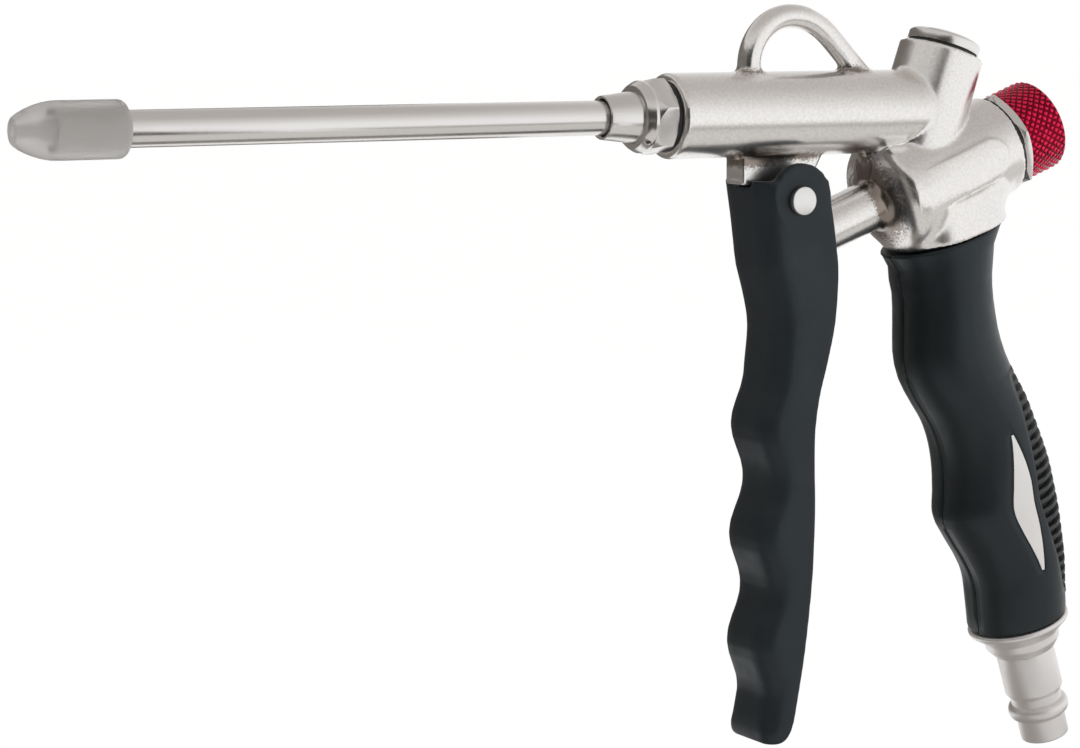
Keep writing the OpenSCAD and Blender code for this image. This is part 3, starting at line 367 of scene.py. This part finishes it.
polishedNickel = metal("polishedNickel", {
    "light": (0.80, 0.785, 0.77), "dark": (0.75, 0.735, 0.72), "cloudScale": 60,
    "roughness": (0.2, 0.26), "grainScale": 900, "grain": 0.05, "grainStretch": (0.1, 1, 1),
})
tubeNickel = metal("tubeNickel", {
    "light": (0.80, 0.785, 0.77), "dark": (0.75, 0.735, 0.72), "cloudScale": 40, "stretch": (0.15, 1, 1),
    "roughness": (0.2, 0.25), "grainScale": 700, "grain": 0.04, "grainStretch": (0.05, 1, 1),
})
castNickel = metal("castNickel", {
    "light": (0.87, 0.855, 0.84), "dark": (0.79, 0.77, 0.75), "cloudScale": 1900, "detail": 4,
    "roughness": (0.21, 0.27), "grainScale": 2300, "grain": 0.6, "grainDepth": 0.017,
    # the dark colour for the hollows is painted shade with some soot
    "creviceShade": {"scale": 2400, "gain": 1.0, "from": 0.72, "to": 1.0, "colour": (0.29, 0.25, 0.22)},
})
satinNickel = metal("satinNickel", {
    "light": (0.86, 0.84, 0.83), "dark": (0.80, 0.78, 0.77), "cloudScale": 70,
    "roughness": (0.44, 0.52), "grainScale": 1400, "grain": 0.1,
})
brightSteel = metal("brightSteel", {
    "light": (0.8, 0.79, 0.78), "dark": (0.74, 0.73, 0.72), "cloudScale": 80,
    "roughness": (0.3, 0.38), "grainScale": 1600, "grain": 0.12,
})
innerBrass = metal("innerBrass", {
    "light": (0.75, 0.58, 0.28), "dark": (0.66, 0.5, 0.22), "cloudScale": 80,
    "roughness": (0.22, 0.3), "grainScale": 1200, "grain": 0.1,
})
redAnodised = metal("redAnodised", {
    "light": (0.95, 0.026, 0.105), "dark": (0.86, 0.021, 0.085), "cloudScale": 120,
    "roughness": (0.2, 0.26), "grainScale": 1600, "grain": 0.1,
    # the dark red for the knurl's hollows is painted shade
    "creviceShade": {"scale": 900, "gain": 0.8, "from": 0.85, "to": 1.0, "colour": (0.20, 0.004, 0.02)},
})
silverInlay = metal("silverInlay", {
    "light": (0.8, 0.785, 0.77), "dark": (0.75, 0.735, 0.72), "cloudScale": 70, "metallic": 0.6,
    "roughness": (0.36, 0.44), "grainScale": 1500, "grain": 0.12,
})
leverCoat = soft("leverCoat", {
    "light": (0.0100, 0.0140, 0.0175), "dark": (0.0075, 0.0110, 0.0140), "cloudScale": 90,
    "roughness": (0.42, 0.5), "grainScale": 2200, "grain": 0.1, "specular": 0.4, "tint": (0.86, 0.96, 1.0),
})
gripRubber = soft("gripRubber", {
    "light": (0.0035, 0.0060, 0.0080), "dark": (0.0025, 0.0045, 0.0060), "cloudScale": 80,
    "roughness": (0.40, 0.47), "grainScale": 2000, "grain": 0.15, "specular": 0.52, "tint": (0.84, 0.95, 1.0),
})
ribRubber = soft("ribRubber", {
    "light": (0.0300, 0.0335, 0.0350), "dark": (0.0240, 0.0270, 0.0285), "cloudScale": 80,
    # the near black for the grooves' bottoms is painted shade
    "groove": (0.002, 0.002, 0.002),
    "roughness": (0.5, 0.6), "grainScale": 2000, "grain": 0.15, "specular": 0.42,
})
sealRubber = soft("sealRubber", {
    "light": (0.012, 0.012, 0.012), "dark": (0.006, 0.006, 0.006), "cloudScale": 200,
    "roughness": (0.45, 0.6), "grainScale": 1800, "grain": 0.1,
})
tipPlastic = milkyTip("tipPlastic", {
    "light": (0.63, 0.615, 0.60), "dark": (0.59, 0.575, 0.56), "cloudScale": 60,
    "roughness": (0.36, 0.42), "ior": 1.22, "clear": 0.62, "glow": 1.0, "glowReach": (3.0, 3.0, 3.2),
    "grainScale": 900, "grain": 0.05,
})
print("stage 2: materials made")


# Metal pieces
def dressCasting():
    values = {  # in millimetres; X and Z of the gun, or place and radius on the axis that is named
        "voxel": 0.34, "fillets": 30, "evenRounds": 3, "leastEven": 0.3, "flareRounds": 34, "joinRounds": 8,
        "barrel": {"frontR": 6.6, "stepX": 140.5, "rearR": 4.2},
        "valve": {"glandZ": 15.5, "glandR": 8.6, "chamberZ": 7, "chamberR": 6.4, "stemR": 4.2},
        "boss": {"seatZ": 18, "seatR": 6.8},
        "handle": {"boreZ": 7, "boreR": 6.1, "neckZ": 10, "neckEnd": 12, "neckFade": 1.2},
        "pinR": 4.2,
        "barrelEnd": {"x": 176, "y": 9, "z": -8.5, "share": 0.12},
        "housing": {"frontR": 11.8, "rearR": 10.3, "frontZ": -3.4, "length": 17.9},
        "pad": {"leastY": 9, "middle": -0.8, "half": 4.6, "from": -4.5, "to": 22, "firmFrom": -2,
                "step": 0.42, "fadeFrom": -1, "fade": 9},
        "flare": {"frontZ": -9.5, "frontFade": 2, "rearZ": 2.5, "rearFade": 3, "innerR": 6.2, "innerFade": 1.2},
        # painted shade, with some soot, in the hollows, and painted shade at the lug's root and on the side of the
        # nose
        "sootAndShade": {"full": 0.5, "firstSpread": 4, "joinGain": 1.5, "spread": 26, "gain": 1.6,
                 "valveEnd": 6, "valveFade": 5, "handleEnd": 6, "handleFade": 3},
        "lugShade": {"x": 147, "length": 9, "z": -8.4, "height": 2, "share": 0.7},
        "noseShade": {"z": -8, "length": 2.4, "mostR": 11, "mostX": 186, "share": 0.75},
    }
    mesh = remeshed("body_casting", values["voxel"])
    work = Soft(mesh)
    p = work.p / mm
    x, y, z = p.T

    def inFrame(matrix):
        return np.c_[p * mm, np.ones(len(p))] @ np.array(matrix.inverted()).T / mm

    def radial(matrix):
        q = inFrame(matrix)
        return np.hypot(q[:, 0], q[:, 1]), q[:, 2]

    def ease(distance, reach=0.7):
        return np.clip(distance / reach, 0, 1)

    # bores, seats and the pad keep their shape: keep is 0 there and 1 where the metal may round off
    valveR, valveZ = radial(onValve)
    bossR, bossZ = radial(onBoss)
    handleR, handleZ = radial(onHandle)
    barrelR = np.hypot(y, z)
    pinR = np.hypot(x - axes["pivot"].x / mm, z - axes["pivot"].z / mm)
    barrel, valve, boss, handle = (values[name] for name in ("barrel", "valve", "boss", "handle"))
    keep = np.where(x < barrel["stepX"], ease(barrelR - barrel["frontR"]), ease(barrelR - barrel["rearR"]))
    chamber = np.where(valveZ > valve["chamberZ"], ease(valveR - valve["chamberR"]), ease(valveR - valve["stemR"]))
    keep *= np.where(valveZ > valve["glandZ"], ease(valveR - valve["glandR"]), chamber)
    keep *= np.where(bossZ > boss["seatZ"], ease(bossR - boss["seatR"]), 1)
    keep *= np.where(handleZ > handle["boreZ"], ease(handleR - handle["boreR"]), 1)
    keep *= ease(pinR - values["pinR"])
    pad = values["pad"]
    acrossX, acrossY, along = inFrame(onValve)[:, :3].T
    onPad = (np.abs(acrossY) > pad["leastY"]) & (np.abs(acrossX - pad["middle"]) < pad["half"])
    onPad &= (along > pad["from"]) & (along < pad["to"])
    keep *= np.where(onPad & (valveZ > pad["firmFrom"]), 0, 1)
    keep *= np.where(handleZ > handle["neckZ"], ease(handle["neckEnd"] - handleZ, handle["neckFade"]), 1)
    end = values["barrelEnd"]
    keep *= np.where((x > end["x"]) & (z > end["z"]) & (np.abs(y) < end["y"]), end["share"], 1)

    # the pad's edges sink to a small step that fades out towards the nose
    housing = values["housing"]
    back = np.clip((along - housing["frontZ"]) / housing["length"], 0, 1)
    housingR = housing["frontR"] - (housing["frontR"] - housing["rearR"]) * back
    skin = np.sqrt(np.maximum(housingR ** 2 - acrossX ** 2, 0))
    proud = np.abs(acrossY) - skin
    share = pad["step"] * ease(along - pad["fadeFrom"], pad["fade"])
    sunk = np.sign(acrossY) * (skin + proud * share) * mm
    work.p[:, 1] = np.where(onPad & (proud > 0), sunk, work.p[:, 1])
    moved = work.fillet(values["fillets"], keep)
    work.even(values["evenRounds"], np.clip(keep + values["leastEven"], 0, 1))

    # the flare's facets and the fillets even out to one curve
    flare = values["flare"]
    bell = ease(valveZ - flare["frontZ"], flare["frontFade"]) * ease(flare["rearZ"] - valveZ, flare["rearFade"])
    bell = bell * ease(valveR - flare["innerR"], flare["innerFade"]) * keep
    work.even(values["flareRounds"], bell)
    sootAndShade = values["sootAndShade"]
    # the depth of each hollow, which also evens the joins and later becomes painted shade
    creviceShade = np.clip(moved / (sootAndShade["full"] * mm), 0, 1)[:, None]
    creviceShade = work.blurred(creviceShade, sootAndShade["firstSpread"])
    work.even(values["joinRounds"], np.clip(creviceShade[:, 0] * sootAndShade["joinGain"], 0, 1) * keep)
    work.normals()

    # painted shade, with some soot, lies in the hollows; painted shade lies at the lug's root and on the side of
    # the nose
    creviceShade = work.blurred(creviceShade, sootAndShade["spread"])[:, 0] * sootAndShade["gain"]
    creviceShade = creviceShade * ease(sootAndShade["valveEnd"] - valveZ, sootAndShade["valveFade"])
    creviceShade = creviceShade * ease(sootAndShade["handleEnd"] - handleZ, sootAndShade["handleFade"])
    lug, nose = values["lugShade"], values["noseShade"]
    rootAndNoseShade = np.exp(-((x - lug["x"]) / lug["length"]) ** 2 - ((z - lug["z"]) / lug["height"]) ** 2) * lug["share"]
    onNose = (valveR < nose["mostR"]) & (x < nose["mostX"])
    rootAndNoseShade += np.exp(-((valveZ - nose["z"]) / nose["length"]) ** 2) * onNose * nose["share"]
    marked(mesh, "creviceShade", np.clip(np.maximum(creviceShade, rootAndNoseShade), 0, 1))
    newObject("castBody", mesh, "body", ("body_casting",), castNickel, sharp=60)


def dressKnob():
    values = {"radius": 9.4, "length": 8.9, "front": 27.2, "period": 1.64, "depth": 0.32, "crestGain": 1.1,
              "sides": 380, "rows": 62, "chamfer": 0.6, "frontBreak": 0.35,
              "bore": 2.55, "recess": 3.1, "recessDepth": 2.0}
    around = round(2 * math.pi * values["radius"] / values["period"])
    length, seat = values["length"], values["length"] - values["recessDepth"]
    outer = []
    for i in range(values["rows"] + 1):
        z = length * i / values["rows"]
        edge = min(max(0, values["frontBreak"] - z), values["frontBreak"])
        edge += max(0, z - (length - values["chamfer"]))
        outer.append((values["radius"] - edge, z))
    inner = [(values["recess"], length), (values["recess"], seat), (values["bore"], seat), (values["bore"], 0)]
    points, hollows = [], []
    for k in range(values["sides"]):
        share = k / values["sides"]
        knurled = []
        for r, z in outer:
            # two sets of slanting grooves that cross
            u = share * around + z / values["period"]
            w = share * around - z / values["period"]
            crest = min(abs(u % 1 - 0.5), abs(w % 1 - 0.5)) * 2
            deep = values["depth"] * (1 - min(1, crest * values["crestGain"]))
            hollows.append(deep / values["depth"])
            knurled.append((min(r, values["radius"] - deep), z))
        points += onCircle(knurled + inner, 2 * math.pi * share)
        hollows += [0.0] * len(inner)
    faces = wrapped(values["sides"], len(outer) + len(inner))
    mesh = meshFrom("knurledKnob", points, faces, onValve @ Matrix.Translation((0, 0, values["front"] * mm)))
    # painted shade in the bottoms of the knurl, as deep as each groove is
    marked(mesh, "creviceShade", hollows)
    newObject("knurledKnob", mesh, "knob", ("flow_knob",), redAnodised, sharp=60)


def dressNipple():
    values = {"top": 99.4, "collarEnd": 102.0, "collarGap": 0.05, "bodyR": 6.02, "bodyEnd": 112.0, "bodySlope": 0.9,
              "neckR": 5.3, "neckStart": 111.9, "neckEnd": 113.7, "ringR": 6.3, "ringEnd": 116.9, "ringLip": 0.25,
              "crownSteps": 8, "crownFoot": 0.1, "crownPower": 0.55,
              "tipR": 5.0, "tipEnd": 121.9, "bore": 3.5, "spigot": 4.7, "bodyBreak": 0.25, "tipBreak": 0.4}
    v = values
    bodyTop, foot = v["collarEnd"] + v["collarGap"], v["neckR"] + v["crownFoot"]
    outer = rounded([(v["spigot"], v["top"]), (v["spigot"], bodyTop), (v["bodyR"], bodyTop),
                     (v["bodyR"], v["bodyEnd"] - v["bodySlope"]), (v["neckR"], v["neckStart"]),
                     (v["neckR"], v["neckEnd"])], v["bodyBreak"])
    crown = []
    for i in range(1, v["crownSteps"]):
        t = i / v["crownSteps"]
        crown.append((foot + (v["ringR"] - foot) * math.sin(math.pi * t) ** v["crownPower"],
                      v["neckEnd"] + (v["ringEnd"] - v["neckEnd"]) * t))
    tip = rounded([(v["neckR"], v["ringEnd"]), (v["tipR"], v["ringEnd"] + v["ringLip"]), (v["tipR"], v["tipEnd"]),
                   (v["bore"], v["tipEnd"]), (v["bore"], v["top"])], v["tipBreak"])
    mesh = turned("plugNipple", (outer + crown + tip)[::-1], onHandle)
    newObject("plugNipple", mesh, "body", ("inlet_nipple",), satinNickel)


def dressTurned():
    values = (  # node, body, slot, finish, width of the broken edges in millimetres
        ("nozzle_ferrule", "body", "polished_nickel", polishedNickel, 0.12),
        ("nozzle_nut", "body", "polished_nickel", polishedNickel, 0.14),
        ("passage_plug", "body", "polished_nickel", polishedNickel, 0.18),
        ("bonnet_gland", "body", "polished_nickel", polishedNickel, 0.14),
        ("nozzle_tube", "body", "polished_nickel", tubeNickel, 0.1),
        ("end_collar", "body", "cast_nickel", satinNickel, 0.2),
        ("pivot_pin", "body", "steel", brightSteel, 0.12),
        ("pin_clip", "body", "steel", brightSteel, 0.06),
        ("knob_screw", "knob", "steel", brightSteel, 0.1),
        ("nozzle_ring_seal", "body", "black_rubber", sealRubber, 0.15),
        ("plug_seal", "body", "black_rubber", sealRubber, 0.2),
        ("bonnet_seal", "body", "black_rubber", sealRubber, 0.15),
    )
    for row in values:
        bevelled(*row)


# Soft pieces
def dressTip():
    values = {"edge": 0.15}
    bevelled("nozzle_tip", "body", "soft_tip", tipPlastic, values["edge"], name="softTip")


def dressLever():
    values = {"voxel": 0.42, "evenRounds": 4, "fillets": 10}
    mesh = remeshed("trigger_lever", values["voxel"])
    work = Soft(mesh)
    full = np.ones(work.count)
    work.fillet(values["fillets"], full)
    work.even(values["evenRounds"], full)
    work.normals()
    newObject("fingerLever", mesh, "lever", ("trigger_lever",), leverCoat, sharp=60)


def dressGrip():
    values = (  # node, piece, slot, finish
        ("grip_shell_", "gripShell_", "grip_rubber", gripRubber),
        ("inlay_", "gripInlay_", "inlay_silver", silverInlay),
    )
    for side in ("near", "far"):
        for node, name, slot, finish in values:
            mesh = cadCopy(node + side, name + side)
            newObject(name + side, mesh, "body", (node + side,), finish, sharp=40)


def dressRibs():
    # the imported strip, row by row down the handle, with its grooves cut square and deep
    values = {"rowGap": 0.05, "grooveFrom": 0.1, "grooveTo": 0.87, "grooveDepth": 0.8}
    back = onHandle.inverted()
    packed = nodes["grip_back_strip"].data.vertices
    points = sorted((tuple(round(c, 7) for c in back @ v.co) for v in packed), key=lambda q: q[2])
    rows, last = [], None
    for q in points:
        if last is None or q[2] - last > values["rowGap"] * mm:
            rows.append(set())
            last = q[2]
        rows[-1].add(q)
    bands = []
    for row in rows:
        line = sorted(row, key=lambda q: math.atan2(q[1], -q[0]))
        top, low = [], []
        for a, b in zip(line[::2], line[1::2]):
            far, near = (a, b) if math.hypot(a[0], a[1]) > math.hypot(b[0], b[1]) else (b, a)
            top.append(np.array(far))
            low.append(np.array(near))
        bands.append((np.array(top), np.array(low)))
    rings, marks = [], []

    def ring(top, low, deep):
        rings.append(np.r_[top, low[::-1]])
        marks.append(deep)

    # packed rows come in threes: start and end of a land, then the groove
    for k in range(0, len(bands) - 2, 3):
        start, end, groove = bands[k:k + 3]
        ring(*start, 0)
        ring(*end, 0)
        if k + 3 < len(bands):
            after = bands[k + 3]
            for t in (values["grooveFrom"], values["grooveTo"]):
                top, low = (end[i] * (1 - t) + after[i] * t for i in (0, 1))
                ring(top * (1 - values["grooveDepth"]) + low * values["grooveDepth"], low, 1)
        else:
            ring(*groove, 1)
    count = len(rings[0])
    half = count // 2
    last = (len(rings) - 1) * count
    faces = []
    for k in range(len(rings) - 1):
        here, after = k * count, (k + 1) * count
        for i in range(count):
            j = (i + 1) % count
            faces.append((here + i, here + j, after + j, after + i))
    faces += [tuple(range(count))[::-1], tuple(range(last, last + count))]
    mesh = meshFrom("ribbedBack", np.concatenate(rings), faces, onHandle)
    # the groove bottoms take painted shade
    marked(mesh, "groove", [float(deep and i < half) for deep in marks for i in range(count)])
    work = bmesh.new()
    work.from_mesh(mesh)
    bmesh.ops.recalc_face_normals(work, faces=work.faces)
    work.to_mesh(mesh)
    work.free()
    newObject("ribbedBack", mesh, "body", ("grip_back_strip",), ribRubber, sharp=30)


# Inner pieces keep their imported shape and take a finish
def finishInner():
    values = {
        innerBrass: ("stem_guide", "valve_poppet", "throttle_sleeve"),
        sealRubber: ("stem_seal", "poppet_seal", "spindle_seal", "nipple_seal"),
        brightSteel: ("valve_stem", "sleeve_clip", "throttle_spindle", "core_tube"),
    }
    for finish, names in values.items():
        for node in names:
            mesh = nodes[node].data
            mesh.materials.clear()
            mesh.materials.append(finish)


def dressSpring():
    # the spring on the body with a mesh of its own; in the gun it shortens against its rear seat as the lever is
    # pulled
    mesh = nodes["valve_spring"].data.copy()
    mesh.name = "valveSpring"
    piece = newObject("valveSpring", mesh, "body", ("valve_spring",), brightSteel, sharp=60)
    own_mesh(piece)


print("stage 3: casting")
dressCasting()
print("stage 4: turned pieces")
dressKnob()
dressNipple()
dressTurned()
print("stage 5: tip, lever and grip")
dressTip()
dressLever()
dressGrip()
dressRibs()
print("stage 6: inner pieces")
finishInner()
dressSpring()


# Stage, light and camera
stageMiddle = Vector((0.16, 0, -0.03))            # the point that the cards and the lamp stand around


def emptied(data):
    data.use_nodes = True
    data.node_tree.nodes.clear()
    return data.node_tree


def staged(name, mesh, finish):
    made = linked(name, mesh)
    mesh.materials.append(finish)
    return made


def flatCard(name, centre, size, finish):
    # a level sheet that faces up
    half = size[0] / 2, size[1] / 2
    corners = [(-half[0], -half[1], 0), (half[0], -half[1], 0), (half[0], half[1], 0), (-half[0], half[1], 0)]
    made = staged(name, meshFrom(name, corners, [(0, 1, 2, 3)]), finish)
    made.location = centre
    made.rotation_euler = (Vector((centre[0], centre[1], 1)) - Vector(centre)).to_track_quat("Z", "Y").to_euler()
    return made


def paper(name, white, glow, share):
    # white paper: mostly its own white, with a share of true shading that holds the shadow
    made = bpy.data.materials.new(name)
    tree = emptied(made)
    out = tree.nodes.new("ShaderNodeOutputMaterial")
    mix = tree.nodes.new("ShaderNodeMixShader")
    own = tree.nodes.new("ShaderNodeEmission")
    flat = tree.nodes.new("ShaderNodeBsdfDiffuse")
    own.inputs["Strength"].default_value = glow
    flat.inputs["Color"].default_value = (*grey(white), 1)
    mix.inputs["Fac"].default_value = share
    tree.links.new(flat.outputs[0], mix.inputs[1])
    tree.links.new(own.outputs[0], mix.inputs[2])
    tree.links.new(mix.outputs[0], out.inputs["Surface"])
    return made


def cardPaint(level):
    # the even grey of a studio card, a little warm where it is dark
    made = bpy.data.materials.new("card%02d" % round(level * 100))
    tree = emptied(made)
    out = tree.nodes.new("ShaderNodeOutputMaterial")
    tone = tree.nodes.new("ShaderNodeEmission")
    tone.inputs["Color"].default_value = (level, level ** 1.06, level ** 1.12, 1)
    tree.links.new(tone.outputs[0], out.inputs["Surface"])
    return made


def towards(azimuth, elevation):
    # azimuth 0 is the gun's near side (-Y), positive towards +X
    a, e = math.radians(azimuth), math.radians(elevation)
    return Vector((math.sin(a) * math.cos(e), -math.cos(a) * math.cos(e), math.sin(e)))


def around(azimuth, elevation, distance):
    return stageMiddle + distance * towards(azimuth, elevation)


def lightStage():
    values = {
        "floorHeight": -0.165, "floorX": 0.15, "floorSize": 12.0, "floorWhite": 0.95, "floorGlow": 1.06,
        "floorShare": 0.86, "reach": 1.2, "cardGap": 0.002, "stripGap": 0.004, "steps": 12,
        "cards": {  # azimuth from and to, elevation from and to, grey; those named Floor lie on the floor
            "cameraSide": (-62, -9, -7, 24, 0.02),
            "cameraFloor": (-62, -9, -36, -7.2, 0.04),
            "leftSide": (-118, -62.5, -7, 27, 0.15),
            "leftFloor": (-118, -62.5, -36, -7.2, 0.2),
            "behindLeft": (-206, -118.5, -7, 30, 0.16),
            "behindFloor": (-206, -118.5, -40, -7.2, 0.18),
        },
        "strips": {  # centre across the floor, width along X, width along Y, grey
            "underLine": (0.16, 0.012, 0.5, 0.08, 0.22),
            "frontFloor": (0.30, -0.12, 0.62, 0.17, 0.66),
            "nearFloor": (0.36, -0.28, 0.34, 0.14, 0.4),
        },
        "key": {"azimuth": 32, "elevation": 30, "distance": 1.2, "size": (1.3, 1.2), "power": 3.0},
    }
    floor, steps = values["floorHeight"], values["steps"]
    floorPaper = paper("floorPaper", values["floorWhite"], values["floorGlow"], values["floorShare"])
    flatCard("paleFloor", (values["floorX"], 0, floor), (values["floorSize"],) * 2, floorPaper)
    cards = []
    for name, (x, y, width, depth, level) in values["strips"].items():
        cards.append(flatCard(name, (x, y, floor + values["stripGap"]), (width, depth), cardPaint(level)))
    row = steps + 1
    faces = [(i * row + j, (i + 1) * row + j, (i + 1) * row + j + 1, i * row + j + 1)
             for i in range(steps) for j in range(steps)]
    for name, (left, right, low, high, level) in values["cards"].items():
        points = []
        for i in range(row):
            for j in range(row):
                elevation = low + (high - low) * j / steps
                azimuth = left + (right - left) * i / steps
                reach = values["reach"]
                if name.endswith("Floor"):  # where that line of sight meets the floor
                    reach = (stageMiddle.z - floor - values["cardGap"]) / math.sin(math.radians(-elevation))
                points.append(around(azimuth, elevation, reach))
        cards.append(staged(name, meshFrom(name, points, faces), cardPaint(level)))
    for made in cards:
        # a card is only seen in the plating, never by the camera, and casts no shadow
        made.visible_camera = made.visible_diffuse = made.visible_shadow = made.visible_transmission = False
    key = values["key"]
    lamp = bpy.data.lights.new("key", "AREA")
    lamp.shape = "RECTANGLE"
    lamp.size, lamp.size_y = key["size"]
    lamp.energy = key["power"]
    made = linked("key", lamp)
    made.location = around(key["azimuth"], key["elevation"], key["distance"])
    made.rotation_euler = (made.location - stageMiddle).to_track_quat("Z", "Y").to_euler()
    made.visible_glossy = False


def lightWorld():
    # the room: white around the horizon, greyer overhead
    values = {"whiteTo": 0.1, "greyFrom": 0.85, "horizon": (1, 1, 1), "overhead": (0.54, 0.51, 0.49)}
    world = bpy.data.worlds.new("studioRoom")
    bpy.context.scene.world = world
    tree = emptied(world)
    out = tree.nodes.new("ShaderNodeOutputWorld")
    back = tree.nodes.new("ShaderNodeBackground")
    where = tree.nodes.new("ShaderNodeTexCoord")
    split = tree.nodes.new("ShaderNodeSeparateXYZ")
    colours = tree.nodes.new("ShaderNodeValToRGB")
    cells = colours.color_ramp.elements
    cells[0].position, cells[0].color = values["whiteTo"], (*values["horizon"], 1)
    cells[1].position, cells[1].color = values["greyFrom"], (*values["overhead"], 1)
    tree.links.new(where.outputs["Generated"], split.inputs[0])
    tree.links.new(split.outputs["Z"], colours.inputs["Fac"])
    tree.links.new(colours.outputs["Color"], back.inputs["Color"])
    tree.links.new(back.outputs[0], out.inputs["Surface"])


def placeCamera():
    values = {"azimuth": -30.198348, "elevation": 7.148406, "lens": 100, "sensor": 36,
              "place": (-0.1762717, -0.4780936, 0.0221714), "clip": (0.01, 50)}
    back = towards(values["azimuth"], values["elevation"])
    a = math.radians(values["azimuth"])
    right = Vector((math.cos(a), math.sin(a), 0))
    up = back.cross(right)
    lens = bpy.data.cameras.new("photoCamera")
    lens.lens = values["lens"]
    lens.sensor_width = values["sensor"]
    lens.sensor_fit = "HORIZONTAL"
    lens.clip_start, lens.clip_end = values["clip"]
    camera = linked("photoCamera", lens)
    turn = Matrix((right, up, back)).transposed().to_4x4()
    camera.matrix_world = Matrix.Translation(values["place"]) @ turn
    bpy.context.scene.camera = camera


print("stage 7: light and camera")
lightStage()
lightWorld()
placeCamera()
bpy.context.scene.view_settings.view_transform = "Standard"
